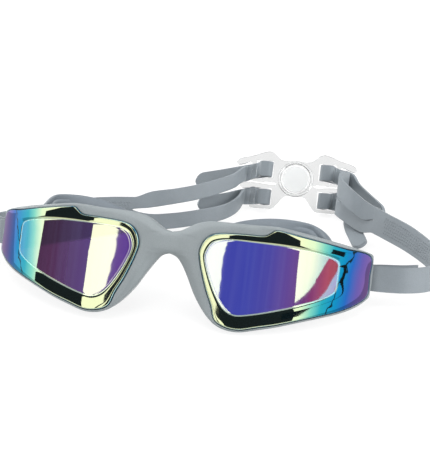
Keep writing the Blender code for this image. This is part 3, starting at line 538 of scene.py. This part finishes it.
def lens_finish(looks):
    """Rainbow mirror coat: a dark coated rim, a violet-blue window, a painted highlight line between
    them over the moulded groove, a painted light-blue highlight on the side edge and back, and a
    reflection that goes from pale gold through cyan and blue to purple at the temple."""
    mat, tree, bsdf = new_material("rainbow_mirror_lens")
    band, across, rise = (node(tree, "ShaderNodeAttribute", attribute_name=name).outputs["Fac"]
                          for name in ("band", "across", "rise"))
    place = node(tree, "ShaderNodeTexCoord").outputs["Object"]
    out = maths(tree, "ABSOLUTE", across)
    wobble = maths(tree, "MULTIPLY_ADD", noise(tree, place, 55.0, 2.0), TINT_WOBBLE,
                   -TINT_WOBBLE / 2)
    lean = maths(tree, "MULTIPLY_ADD", rise, *TINT_LEAN)
    reach = maths(tree, "ADD", maths(tree, "ADD", out, lean), wobble)
    tint = ramp(tree, maths(tree, "DIVIDE", reach, LENS_REACH), TINTS)
    mark = maths(tree, "ADD", out, maths(tree, "MULTIPLY", rise, MARK_LEAN))
    ragged = maths(tree, "MULTIPLY_ADD", noise(tree, place, 210.0, 2.0), MARK_RAGGED,
                   -MARK_RAGGED / 2)
    mark = maths(tree, "SUBTRACT", maths(tree, "ADD", mark, ragged), MARK_AT)
    keep = maths(tree, "MULTIPLY_ADD", maths(tree, "ABSOLUTE", mark), 4.0, -0.6, clamp=True)
    tree.links.new(blend_colour(tree, keep, (0.0, 0.01, 0.02), tint), bsdf.inputs["Specular Tint"])

    window = ramp(tree, maths(tree, "MULTIPLY_ADD", across, 0.5 / LENS_REACH, 0.5), WINDOW_TINTS)
    over = maths(tree, "SUBTRACT", rise, maths(tree, "MULTIPLY_ADD", across, *SHADED_ABOVE))
    shaded = maths(tree, "MULTIPLY", stretch(tree, over, -0.6, 0.6), stretch(tree, across, 0.0, -1.0))
    window = blend_colour(tree, maths(tree, "MULTIPLY", shaded, 0.55), window, SHADED)
    long = node(tree, "ShaderNodeMapping", {"Vector": place, "Scale": (420.0, 12.0, 12.0)})
    streaks = ramp(tree, noise(tree, long.outputs["Vector"], 1.0, 2.0),
                   ((0.35, (0.0,) * 3), (0.8, (1.0,) * 3)))
    window = blend_colour(tree, maths(tree, "MULTIPLY", streaks, 0.08), window, (0.30, 0.30, 0.60))
    body = blend_colour(tree, stretch(tree, band, 1.0, 1.03), tuple(looks.rim), window)
    # Painted highlight: a thin light line in the base colour on the groove ring, on top of the real
    # moulded groove.
    from_line = maths(tree, "ABSOLUTE", maths(tree, "SUBTRACT", band, 1.0))
    painted_groove_highlight = maths(tree, "SUBTRACT", 1.0, maths(tree, "MULTIPLY", from_line, 18.0), clamp=True)
    body = blend_colour(tree, painted_groove_highlight, body, tuple(looks.line))
    # Painted highlight: light blue on the lens's side edge and back.
    body = blend_colour(tree, stretch(tree, band, 0.08, 0.0), body, LENS_EDGE_HIGHLIGHT)
    tree.links.new(body, bsdf.inputs["Base Color"])
    bump(tree, bsdf, noise(tree, place, 26.0, 1.0), 0.20, 0.0006)
    bsdf.inputs["Roughness"].default_value = 0.025
    bsdf.inputs["IOR"].default_value = 3.2
    return mat


def clear_plastic(name, tint, rough, transmission, ripple):
    """Clear moulded plastic with the slight waviness of a moulding."""
    mat, tree, bsdf = new_material(name)
    place = node(tree, "ShaderNodeTexCoord").outputs["Object"]
    wave = noise(tree, place, 240.0, 2.0)
    bump(tree, bsdf, wave, ripple, 0.0003)
    tree.links.new(stretch(tree, wave, 0.0, 1.0, rough, rough + 0.05), bsdf.inputs["Roughness"])
    tints = ramp(tree, wave, ((0.3, shade(tint, 0.985)), (0.7, tint)))
    tree.links.new(tints, bsdf.inputs["Base Color"])
    bsdf.inputs["IOR"].default_value = 1.49
    bsdf.inputs["Transmission Weight"].default_value = transmission
    return mat


def hard_plastic(name, base, rough):
    """Smooth moulded plastic with a slight orange-peel and cloudy gloss."""
    mat, tree, bsdf = new_material(name)
    place = node(tree, "ShaderNodeTexCoord").outputs["Object"]
    cloud = noise(tree, place, 160.0, 3.0)
    tint = ramp(tree, cloud, ((0.3, shade(base, 0.92)), (0.7, shade(base, 1.08))))
    tree.links.new(tint, bsdf.inputs["Base Color"])
    gloss = stretch(tree, cloud, 0.0, 1.0, rough - 0.05, rough + 0.08)
    tree.links.new(gloss, bsdf.inputs["Roughness"])
    bump(tree, bsdf, cloud, 0.2, 0.0001)
    return mat


# ---- the front ----
def frame_rails(eye):
    """Section rails of the frame round one eye, with the nose bridge rolled at its edges."""
    top, bridge = COUNTS[0], COUNTS[1]
    lip = eye["lens"] + (eye["front"] - eye["lens"]) * (
        GAP / np.linalg.norm(eye["front"] - eye["lens"], axis=1))[:, None]
    inner = mix(eye["lens"], eye["window"], 0.8 - 0.45 * eye["temple"])
    nose, temple = eye["nose"], eye["temple"]
    back = BODY_BACK - 2.6 * temple
    outer = behind(eye["front"], 0.9 + 2.4 * nose)
    rear = behind(eye["back"], back + 0.3 * nose)
    for i in range(len(outer)):
        fade = ease(1 - abs(outer[i][0]) / 9.0)
        t = (i - top) / bridge
        roll = BRIDGE_ROUND * (abs(2 * t - 1) ** 4 if 0 <= t <= 1 else 1.0)
        if nose[i] > 0:
            outer[i][1] = outer[i][1] * (1 - fade) + (BRIDGE_FRONT + roll) * fade
            rear[i][1] = rear[i][1] * (1 - fade) + (BRIDGE_BACK - roll) * fade
    return [behind(lip, 0.3), behind(mix(lip, eye["front"], 0.55), 0.25 + 0.5 * nose), outer, rear,
            behind(inner, back), behind(inner, BODY_FRONT), behind(lip, BODY_FRONT)]


def frame_mesh(eye, radius):
    """Half of the frame, open at the middle plane, then mirrored and welded."""
    rails = frame_rails(eye)
    off_middle = np.clip(np.abs(eye["front"][:, 0]) / 3.0, 0, 1)
    sections = rounded(rails, radius * off_middle)
    for j in (0, 1):
        sections[j] = towards(rails[0], rails[j * 2 - 1], radius * 0.5)
    bm = bmesh.new()
    loft(bm, sections)
    weld(bm)
    flat = [f for f in bm.faces if all(abs(v.co.x) < MERGE for v in f.verts)]
    bmesh.ops.delete(bm, geom=flat, context="FACES")
    half = bm.verts[:] + bm.edges[:] + bm.faces[:]
    bmesh.ops.mirror(bm, geom=half, axis="X", merge_dist=MERGE)
    weld(bm)
    return bm


def seal_mesh(eye, radius):
    temple, nose = eye["temple"], eye["nose"]
    front = SEAL_FRONT - 4.1 * temple
    low = ease((-29 - eye["lens"][:, 1]) / 5)
    outer = mix(eye["lens"], eye["window"], 0.06 + 0.82 * temple + 0.26 * low)
    inner = mix(eye["lens"], eye["window"], 0.80 + 0.28 * temple)
    bulge, rim = eye["bulge"], eye["rim"]
    centre = np.stack((np.clip(rim[:, 0], 34, 50), -9 + 0 * rim[:, 0]), axis=1)
    y_bulge = 12.6 - 1.6 * nose + 9.0 * temple - 2.2 * ease((-20 - bulge[:, 1]) / 8)
    y_rim = 20.5 + 0.8 * nose + 7.5 * temple

    def at(xz, y):
        return np.stack((xz[:, 0], y, xz[:, 1]), axis=1)

    tuck = towards(rim, centre, 3.2)
    inside = towards(bulge, centre, 1.9)
    rails = [behind(outer, front), at(bulge, y_bulge),
             at(mix(bulge, rim, 0.62), between(y_bulge, y_rim, 0.6)), at(rim, y_rim - 0.7),
             at(towards(rim, centre, 1.3), y_rim + 0.3), at(tuck, y_rim - 0.9),
             at(mix(inside, tuck, 0.6), between(y_bulge, y_rim, 0.5)), at(inside, y_bulge),
             behind(inner, front)]
    bm = bmesh.new()
    loft(bm, rounded(rails, radius))
    weld(bm)
    return bm


def lens_mesh(eye, groove, side):
    """A wrapped plate with a bevelled rim and a fine groove round its window."""
    lens, window = eye["lens"], eye["window"]
    axis = np.stack((np.clip(window[:, 0], 34, 60), -13.5 + 0 * window[:, 0]), axis=1)
    rings = [(mix(window, axis, s), 0.0, 2.0) for s in (0.93, 0.78, 0.62, 0.46, 0.30, 0.16, 0.06)]
    rings += [(towards(window, axis, 0.30), 0.0, 1.04), (window, groove, 1.0),
              (towards(window, lens, 0.25), 0.0, 0.97)]
    rings += [(mix(window, lens, s), 0.0, 1.0 - s) for s in (0.3, 0.5, 0.7)]
    rings += [(towards(lens, window, 0.5), 0.0, 0.09), (towards(lens, window, 0.14), 0.10, 0.03),
              (lens, 0.42, 0.0), (lens, LENS_THICK - 0.3, 0.0),
              (towards(lens, window, 0.4), LENS_THICK, 0.0)]
    rings += [(mix(lens, axis, s), LENS_THICK, 0.0) for s in (0.3, 0.6, 0.93)]
    bm = bmesh.new()
    loft(bm, [behind(ring, depth) for ring, depth, _ in rings], section=False,
         marks=[mark for _, _, mark in rings])
    weld(bm)
    band = bm.verts.layers.float["band"]
    rims = [e for e in bm.edges if e.is_boundary]
    for front in (True, False):
        edges = [e for e in rims if (e.verts[0][band] > 1.5) == front]
        bmesh.ops.triangle_fill(bm, edges=edges, use_beauty=True)
    across = bm.verts.layers.float.new("across")
    rise = bm.verts.layers.float.new("rise")
    for v in bm.verts:
        v[across] = side * v.co.x / MM
        v[rise] = v.co.z / MM
        if v[band] > 1.5:
            v[band] = 2.0
    return bm


# ---- straps ----
def clip_matrix():
    """From the clip's own axes to the goggles' upright axes."""
    turn, tilt = math.radians(CLIP_TURN), math.radians(CLIP_TILT)
    flat = Vector((math.cos(turn), math.sin(turn), 0))
    up = Vector((0, 0, 1))
    along = flat * math.cos(tilt) + up * math.sin(tilt)
    rise = up * math.cos(tilt) - flat * math.sin(tilt)
    face = Vector((math.sin(turn), -math.cos(turn), 0))
    turned = Matrix((along, rise, face)).transposed().to_4x4()
    return Matrix.Translation(Vector(CLIP_CENTRE)) @ turned


def loop_points(side, heights, width):
    rows = []
    last = len(LOOP) - 1
    drop = -0.5 if heights[0] > 0 else 0.7
    for i, (u, n) in enumerate(LOOP):
        v = heights[min(i, len(heights) - 1)]
        v += drop * max(0, i - last + 2)
        rows.append((*(clip_matrix() @ Vector((side * u, v, n))), width, 0.0))
    return rows


def pin_turn(side, thick):
    """The strap's half turn round its pin, from the inner layer to the main band."""
    px, py, pz = PIN
    r = PIN_RADIUS + GAP + thick / 2 - 0.02
    rows = []
    for t in np.linspace(90, 270, 7):
        a = math.radians(t)
        rows.append((side * (px + r * math.cos(a)), py + r * math.sin(a),
                     pz + 0.35 * (270 - t) / 180, 10.6, 0))
    return rows


def turn_with_front(row):
    """A strap point near its pin, turned as far as the front is; further out it turns less."""
    near, far = FOLLOW
    share = ease((far - abs(row[0])) / (far - near)) if row[1] < 45 else 0.0
    a = math.radians(FRONT_TURN) * float(share)
    x, y = row[0] * math.cos(a) - row[1] * math.sin(a), row[0] * math.sin(a) + row[1] * math.cos(a)
    return (x, y, *row[2:])


def strap_frames(path, thick, round_end=None):
    """Places, half-width vectors and half-thickness vectors at each station of a strap path."""
    xyz = path[:, :3]
    tan = np.gradient(xyz, axis=0)
    tan[:, 2] = 0
    tan /= np.linalg.norm(tan, axis=1)[:, None]
    flat = np.stack((tan[:, 1], -tan[:, 0], 0 * tan[:, 0]), axis=1)
    up = np.tile((0, 0, 1.0), (len(xyz), 1))
    roll = np.radians(path[:, 4])[:, None]
    wide = up * np.cos(roll) + flat * np.sin(roll)
    norm = flat * np.cos(roll) - up * np.sin(roll)
    half = path[:, 3].copy() / 2
    if round_end:
        s = np.concatenate(([0], np.cumsum(np.linalg.norm(np.diff(xyz, axis=0), axis=1))))
        left = s[-1] - s
        curve = np.sqrt(np.clip(1 - (1 - left / round_end) ** 2, 0.05, 1))
        half = np.where(left < round_end, half * curve, half)
    return xyz, wide * half[:, None], norm * thick / 2


def tail_stations(points, radius):
    """Spline samples, closer together near the rounded end."""
    path = spline(points, step=1.6)
    s = np.concatenate(([0], np.cumsum(np.linalg.norm(np.diff(path[:, :3], axis=0), axis=1))))
    near = [radius * (1 - math.cos(math.radians(a))) for a in (90, 76, 62, 48, 36, 25, 15, 6)]
    want = [x for x in s if x < s[-1] - radius] + [s[-1] - d for d in near] + [s[-1]]
    return np.stack([np.interp(want, s, path[:, k]) for k in range(path.shape[1])], axis=1)


def strap_mesh(side, band, main, branches, thick, width, edge):
    """One Y-shaped strap: a doubled band round the pin that divides into two branches; each branch
    turns round its bar of the clip and comes back as a free tail with a rounded end."""
    along = [turn_with_front(row) for row in (*band, *pin_turn(side, thick), *main)]
    band_path = spline(along, step=1.5)
    xyz, wide, norm = strap_frames(band_path, thick)
    bm = bmesh.new()
    loft(bm, [xyz + norm - wide, xyz + norm, xyz + norm + wide, xyz - norm + wide, xyz - norm,
              xyz - norm - wide], around=False)
    ends = [c[-1] for c in (xyz + norm - wide, xyz + norm, xyz + norm + wide, xyz - norm + wide,
                            xyz - norm, xyz - norm - wide)]
    fork, before = band_path[-1], band_path[-4]
    for sign, run, tail, heights in branches:
        start, lead = fork.copy(), before.copy()
        start[2] += sign * fork[3] / 4
        start[3] = fork[3] / 2
        lead[2] += sign * before[3] / 4
        points = [lead, start] + [np.array(q, float) for q in run]
        points += [np.array(q) for q in loop_points(side, heights, width)]
        first_tail = len(points) - 1
        points += [np.array(q, float) for q in tail]
        path = np.concatenate((spline(points[:first_tail + 1], step=0.8)[:-1],
                               tail_stations(points[first_tail:], width / 2)))
        path = path[np.linalg.norm(path[:, :3] - start[:3], axis=1).argmin():]
        pts, half, off = strap_frames(path, thick, round_end=width / 2)
        corners = [pts + off - half, pts + off + half, pts - off + half, pts - off - half]
        shared = (1, 2, 3, 4) if sign > 0 else (0, 1, 4, 5)
        for corner, k in zip(corners, shared):
            corner[0] = ends[k]
        loft(bm, corners, around=False)
    weld(bm)
    sharp = [e for e in bm.edges if len(e.link_faces) == 2 and e.calc_face_angle(0.0) > 1.05]
    bmesh.ops.bevel(bm, geom=sharp, offset=edge, offset_type="OFFSET", segments=3, profile=0.5,
                    affect="EDGES", material=-1, clamp_overlap=True)
    close_ends(bm)
    return bm


def stud_mesh(side, main, sizes):
    """Rows of small raised studs on the inner face of the strap's wide stretch."""
    pitch, rows = sizes.stud_pitch / MM, sizes.stud_rows
    path = spline(main, step=0.4)
    xyz, wide, norm = strap_frames(path, sizes.strap_thick / MM)
    s = np.concatenate(([0], np.cumsum(np.linalg.norm(np.diff(xyz, axis=0), axis=1))))
    rear = np.arange(len(s)) > len(s) // 2
    low, high = GRIP_SPANS[side]
    inside = s[rear & (xyz[:, 0] > low) & (xyz[:, 0] < high)]
    bm = bmesh.new()
    for row in range(rows):
        offset = (row - (rows - 1) / 2) * pitch * 1.02
        for at in np.arange(inside[0] + (row % 2) * pitch / 2, inside[-1], pitch):
            p = np.array([np.interp(at, s, xyz[:, k]) for k in range(3)])
            w = np.array([np.interp(at, s, wide[:, k]) for k in range(3)])
            m = np.array([np.interp(at, s, norm[:, k]) for k in range(3)]) * -side
            w, face = Vector(w).normalized(), Vector(m).normalized()
            centre = Vector(p) + Vector(m) + w * offset
            turned = Matrix((w.cross(face), w, face)).transposed().to_4x4()
            made = bmesh.ops.create_cone(bm, cap_ends=True, segments=6, radius1=sizes.stud_radius,
                                         radius2=sizes.stud_radius * 0.45,
                                         depth=sizes.stud_height * 2)
            bmesh.ops.transform(bm, matrix=Matrix.Translation(centre * MM) @ turned,
                                verts=made["verts"])
    return bm


# ---- the clip ----
def clip_to_metres():
    return Matrix.Scale(MM, 4) @ clip_matrix()


def rounded_slot(u0, u1, v0, v1, r):
    """A slot's outline: four quarter turns."""
    corners = ((u1 - r, v1 - r, 0), (u0 + r, v1 - r, 90), (u0 + r, v0 + r, 180), (u1 - r, v0 + r, 270))
    return [(u + r * math.cos(math.radians(a + t)), v + r * math.sin(math.radians(a + t)))
            for u, v, a in corners for t in (0, 22.5, 45, 67.5, 90)]


def clip_mesh(edge):
    """The plate with its eight slots and hub hole, filled flat, made thick and rounded off."""
    ring = list(HALF_CLIP) + [(0, 9.3)] + [(-u, v) for u, v in HALF_CLIP[:0:-1]]
    loops = [[tuple(p) for p in spline(ring, per=3, closed=True)]]
    for side in (1, -1):
        loops += [[(side * u, v) for u, v in rounded_slot(*slot, 0.7)] for slot in SLOTS]
    hole = DISC_RADIUS + GAP
    loops.append([(hole * math.cos(t), hole * math.sin(t))
                  for t in np.linspace(0, 2 * math.pi, 64, endpoint=False)])
    bm = bmesh.new()
    for loop in loops:
        vs = [bm.verts.new((u, v, -CLIP_HALF)) for u, v in loop]
        for i in range(len(vs)):
            bm.edges.new((vs[i], vs[(i + 1) % len(vs)]))
    bmesh.ops.triangle_fill(bm, edges=bm.edges[:], use_beauty=True)
    out = bmesh.ops.extrude_face_region(bm, geom=bm.faces[:])
    moved = [g for g in out["geom"] if isinstance(g, bmesh.types.BMVert)]
    bmesh.ops.translate(bm, verts=moved, vec=(0, 0, 2 * CLIP_HALF))
    bmesh.ops.recalc_face_normals(bm, faces=bm.faces[:])
    rims = [e for e in bm.edges if e.calc_face_angle(0.0) > 1.2
            and abs(e.verts[0].co.z - e.verts[1].co.z) < 1e-6]
    bmesh.ops.bevel(bm, geom=rims, offset=edge / MM, offset_type="OFFSET", segments=3, profile=0.5,
                    affect="EDGES", material=-1, clamp_overlap=True)
    bmesh.ops.transform(bm, matrix=clip_to_metres(), verts=bm.verts[:])
    return bm


def turned_mesh(profile, steps=72):
    """A profile of (radius, height) points spun round the clip's middle."""
    bm = bmesh.new()
    vs = [bm.verts.new((r, 0, h)) for r, h in profile]
    es = [bm.edges.new(pair) for pair in zip(vs, vs[1:])]
    bmesh.ops.spin(bm, geom=vs + es, cent=(0, 0, 0), axis=(0, 0, 1), angle=2 * math.pi,
                   steps=steps, use_merge=True)
    bmesh.ops.remove_doubles(bm, verts=bm.verts[:], dist=1e-4)
    bmesh.ops.transform(bm, matrix=clip_to_metres(), verts=bm.verts[:])
    return bm


def ring_profile(radius, thick, height):
    """A closed round bead, sunk a little into the plate."""
    turns = [math.radians(a) for a in range(0, 361, 30)]
    return [(radius + thick * math.cos(t), CLIP_HALF + height * math.sin(t)) for t in turns]


# ---- operators ----
class PieceOperator:
    bl_options = {"REGISTER", "UNDO"}

    def settings(self, context):
        return context.scene.goggles_sizes, context.scene.goggles_looks


class GOGGLES_OT_frame(PieceOperator, bpy.types.Operator):
    """Build the one-piece soft frame with its nose bridge"""
    bl_idname = "goggles.frame"
    bl_label = "Face frame"

    def execute(self, context):
        sizes, looks = self.settings(context)
        bm = frame_mesh(one_eye(), sizes.frame_round / MM)
        finish_piece("soft_frame", bm, silicone("frame_silicone", tuple(looks.silicone), 0.48),
                     "front", ["face_frame"], level=1)
        return {"FINISHED"}


class GOGGLES_OT_lenses(PieceOperator, bpy.types.Operator):
    """Build the two wrapped mirror lenses"""
    bl_idname = "goggles.lenses"
    bl_label = "Mirror lenses"

    def execute(self, context):
        sizes, looks = self.settings(context)
        finish = lens_finish(looks)
        for name, side in (("left", -1), ("right", 1)):
            bm = lens_mesh(one_eye(), sizes.groove_depth / MM, side)
            finish_piece("mirror_lens_" + name, bm, finish, "front",
                         ["lens_" + name], side=side)
        return {"FINISHED"}


class GOGGLES_OT_seals(PieceOperator, bpy.types.Operator):
    """Build the two soft eye seals"""
    bl_idname = "goggles.seals"
    bl_label = "Eye seals"

    def execute(self, context):
        sizes, looks = self.settings(context)
        finish = silicone("seal_silicone", tuple(looks.seal), 0.52)
        for name, side in (("left", -1), ("right", 1)):
            bm = seal_mesh(one_eye(), sizes.seal_round / MM)
            finish_piece("soft_seal_" + name, bm, finish, "front",
                         ["eye_seal_" + name], side=side, level=1)
        return {"FINISHED"}


class GOGGLES_OT_straps(PieceOperator, bpy.types.Operator):
    """Build the two Y-shaped straps with their grip studs"""
    bl_idname = "goggles.straps"
    bl_label = "Straps"

    def execute(self, context):
        sizes, looks = self.settings(context)
        finish = silicone("strap_silicone", tuple(looks.strap), 0.5)
        sets = ((-1, "left", LEFT_BAND, LEFT_MAIN, LEFT_UPPER, LEFT_UPPER_TAIL, LEFT_LOWER,
                 LEFT_LOWER_TAIL),
                (1, "right", RIGHT_BAND, RIGHT_MAIN, RIGHT_UPPER, RIGHT_UPPER_TAIL, RIGHT_LOWER,
                 RIGHT_LOWER_TAIL))
        for side, name, band, main, upper, upper_tail, lower, lower_tail in sets:
            branches = ((1, upper, upper_tail, UPPER_V), (-1, lower, lower_tail, LOWER_V))
            bm = strap_mesh(side, band, main, branches, sizes.strap_thick / MM,
                            sizes.branch_width / MM, sizes.strap_edge)
            finish_piece("soft_strap_" + name, bm, finish, "strap_" + name,
                         ["strap_" + name], even=True)
            finish_piece("grip_studs_" + name, stud_mesh(side, main, sizes), finish,
                         "strap_" + name)
        return {"FINISHED"}


class GOGGLES_OT_clip(PieceOperator, bpy.types.Operator):
    """Build the clear back clip, its hub ring and its milky disc"""
    bl_idname = "goggles.clip"
    bl_label = "Back clip"

    def execute(self, context):
        sizes, looks = self.settings(context)
        clear = clear_plastic("clip_clear", tuple(looks.clear), 0.01, 1.0, 0.25)
        milky = clear_plastic("disc_milky", tuple(looks.milky), 0.22, 0.6, 0.1)
        r = DISC_RADIUS
        disc = [(0, -1.3), (r - 0.5, -1.3), (r - 0.1, -1.1), (r, -0.8), (r, 0.8), (r - 0.1, 1.1),
                (r - 0.5, 1.3), (0, 1.3)]
        pieces = (("clip_plate", clip_mesh(sizes.clip_edge), clear, "clip_clear", ["clip_body"]),
                  ("clip_hub_ring", turned_mesh(ring_profile(8.3, 0.7, 0.5)), clear, "clip_clear", []),
                  ("clip_hub_disc", turned_mesh(disc), milky, "clip_disc_clear", ["clip_disc"]))
        for name, bm, finish, slot, stands_for in pieces:
            ob = finish_piece(name, bm, finish, "clip", stands_for, even=True)
            ob.visible_shadow = False
        return {"FINISHED"}


class GOGGLES_OT_fittings(PieceOperator, bpy.types.Operator):
    """Give the lens seats, temple brackets and strap pins their finishes"""
    bl_idname = "goggles.fittings"
    bl_label = "Seats, brackets and pins"

    def execute(self, context):
        looks = self.settings(context)[1]
        finishes = {"lens_seat": hard_plastic("seat_black", (0.006, 0.010, 0.012), 0.22),
                    "temple_bracket": silicone("bracket_grey", tuple(looks.silicone), 0.5),
                    "strap_pin": hard_plastic("pin_grey", (0.21, 0.24, 0.26), 0.35)}
        for name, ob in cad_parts.items():
            finish = finishes.get(name.rsplit("_", 1)[0])
            if finish:
                for spot in ob.material_slots:
                    spot.material = finish
        return {"FINISHED"}


# ---- stage ----
def stage_object(name, bm, mat):
    me = bpy.data.meshes.new(name)
    bm.to_mesh(me)
    bm.free()
    me.materials.append(mat)
    ob = bpy.data.objects.new(name, me)
    bpy.context.scene.collection.objects.link(ob)
    return ob


def light_panel(name, turn, first, last, power, distance=LIGHT_DISTANCE):
    """A curved panel of light between two turns from the front; first and last are its lowest and
    highest edge at each turn, all in degrees."""
    mat, _, bsdf = new_material(name)
    bsdf.inputs["Base Color"].default_value = (0, 0, 0, 1)
    bsdf.inputs["Emission Color"].default_value = (1, 1, 1, 1)
    bsdf.inputs["Emission Strength"].default_value = power
    bsdf.inputs["Specular IOR Level"].default_value = 0.0
    bm = bmesh.new()
    made = bmesh.ops.create_grid(bm, x_segments=12, y_segments=8, size=1.0)["verts"]
    for v in made:
        along, up = (v.co.x + 1) / 2, (v.co.y + 1) / 2
        a = math.radians(between(turn[0], turn[1], along))
        low, high = (between(a0, a1, along) for a0, a1 in zip(first, last))
        e = math.radians(between(low, high, up))
        v.co = Vector((math.cos(e) * math.sin(a), -math.cos(e) * math.cos(a), math.sin(e))) * distance
    ob = stage_object(name, bm, mat)
    ob.visible_camera = False
    return ob


class GOGGLES_OT_stage(PieceOperator, bpy.types.Operator):
    """Build the white floor, the lights and the camera"""
    bl_idname = "goggles.stage"
    bl_label = "Stage"

    def execute(self, context):
        looks = self.settings(context)[1]
        scene = context.scene
        scene.view_settings.view_transform = "Standard"
        mat, tree, bsdf = new_material("white_sweep")
        bsdf.inputs["Base Color"].default_value = (0.20, 0.20, 0.20, 1)
        bsdf.inputs["Roughness"].default_value = 0.9
        bsdf.inputs["Specular IOR Level"].default_value = 0.0
        bsdf.inputs["Emission Color"].default_value = (1, 1, 1, 1)
        path = node(tree, "ShaderNodeLightPath").outputs
        glow = FLOOR_GLOW
        for ray, more in (("Is Glossy Ray", FLOOR_IN_MIRRORS), ("Is Camera Ray", FLOOR_TO_CAMERA),
                          ("Is Transmission Ray", FLOOR_THROUGH_CLEAR)):
            glow = maths(tree, "MULTIPLY_ADD", path[ray], more, glow)
        tree.links.new(glow, bsdf.inputs["Emission Strength"])
        bm = bmesh.new()
        bmesh.ops.create_grid(bm, x_segments=2, y_segments=2, size=4.0)
        stage_object("white_floor", bm, mat)

        for strip in STRIPS:
            light_panel(*strip, looks.mirror_power)
        light_panel("dark_bar", *DARK_BAR, 0.0, BAR_DISTANCE)
        light_panel("top_light", *TOP_LIGHT, looks.top_power)

        world = bpy.data.worlds.new("studio")
        scene.world = world
        world.use_nodes = True
        tree = world.node_tree
        back = tree.nodes["Background"]
        path = node(tree, "ShaderNodeLightPath").outputs
        clear = maths(tree, "MULTIPLY", path["Is Transmission Ray"], SKY_THROUGH_CLEAR)
        seen = maths(tree, "MAXIMUM", path["Is Camera Ray"], clear)
        dim = maths(tree, "MULTIPLY", path["Is Diffuse Ray"], looks.sky_power)
        level = maths(tree, "ADD", maths(tree, "MAXIMUM", seen, dim), SKY_FLOOR)
        tree.links.new(level, back.inputs["Strength"])
        back.inputs["Color"].default_value = (1, 1, 1, 1)

        camera = bpy.data.cameras.new("camera")
        camera.lens = CAMERA_LENS
        holder = bpy.data.objects.new("camera", camera)
        scene.collection.objects.link(holder)
        holder.location = (Vector(CAMERA_FROM_BRIDGE) + Vector(SHIFT)) * MM
        holder.rotation_euler = (math.radians(90 - CAMERA_DOWN), 0, math.radians(CAMERA_TURN))
        scene.camera = holder
        return {"FINISHED"}


class GOGGLES_PT_panel(bpy.types.Panel):
    """Lists the pieces and their settings"""
    bl_idname = "GOGGLES_PT_panel"
    bl_label = "Swim Goggles"
    bl_space_type = "VIEW_3D"
    bl_region_type = "UI"
    bl_category = "Goggles"

    def draw(self, context):
        for operator in OPERATORS:
            self.layout.operator(operator.bl_idname)
        for group in (context.scene.goggles_sizes, context.scene.goggles_looks):
            box = self.layout.box()
            for name in group.__annotations__:
                box.prop(group, name)


OPERATORS = (GOGGLES_OT_stage, GOGGLES_OT_frame, GOGGLES_OT_lenses, GOGGLES_OT_seals,
             GOGGLES_OT_straps, GOGGLES_OT_clip, GOGGLES_OT_fittings)
CLASSES = (GogglesSizes, GogglesLooks, *OPERATORS, GOGGLES_PT_panel)


def register():
    for cls in CLASSES:
        bpy.utils.register_class(cls)
    bpy.types.Scene.goggles_sizes = PointerProperty(type=GogglesSizes)
    bpy.types.Scene.goggles_looks = PointerProperty(type=GogglesLooks)


def unregister():
    del bpy.types.Scene.goggles_looks
    del bpy.types.Scene.goggles_sizes
    for cls in reversed(CLASSES):
        bpy.utils.unregister_class(cls)


def main():
    register()
    bpy.ops.goggles.stage()
    bpy.ops.goggles.frame()
    bpy.ops.goggles.lenses()
    bpy.ops.goggles.seals()
    bpy.ops.goggles.straps()
    bpy.ops.goggles.clip()
    bpy.ops.goggles.fittings()
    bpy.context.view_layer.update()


if __name__ == "__main__":
    main()
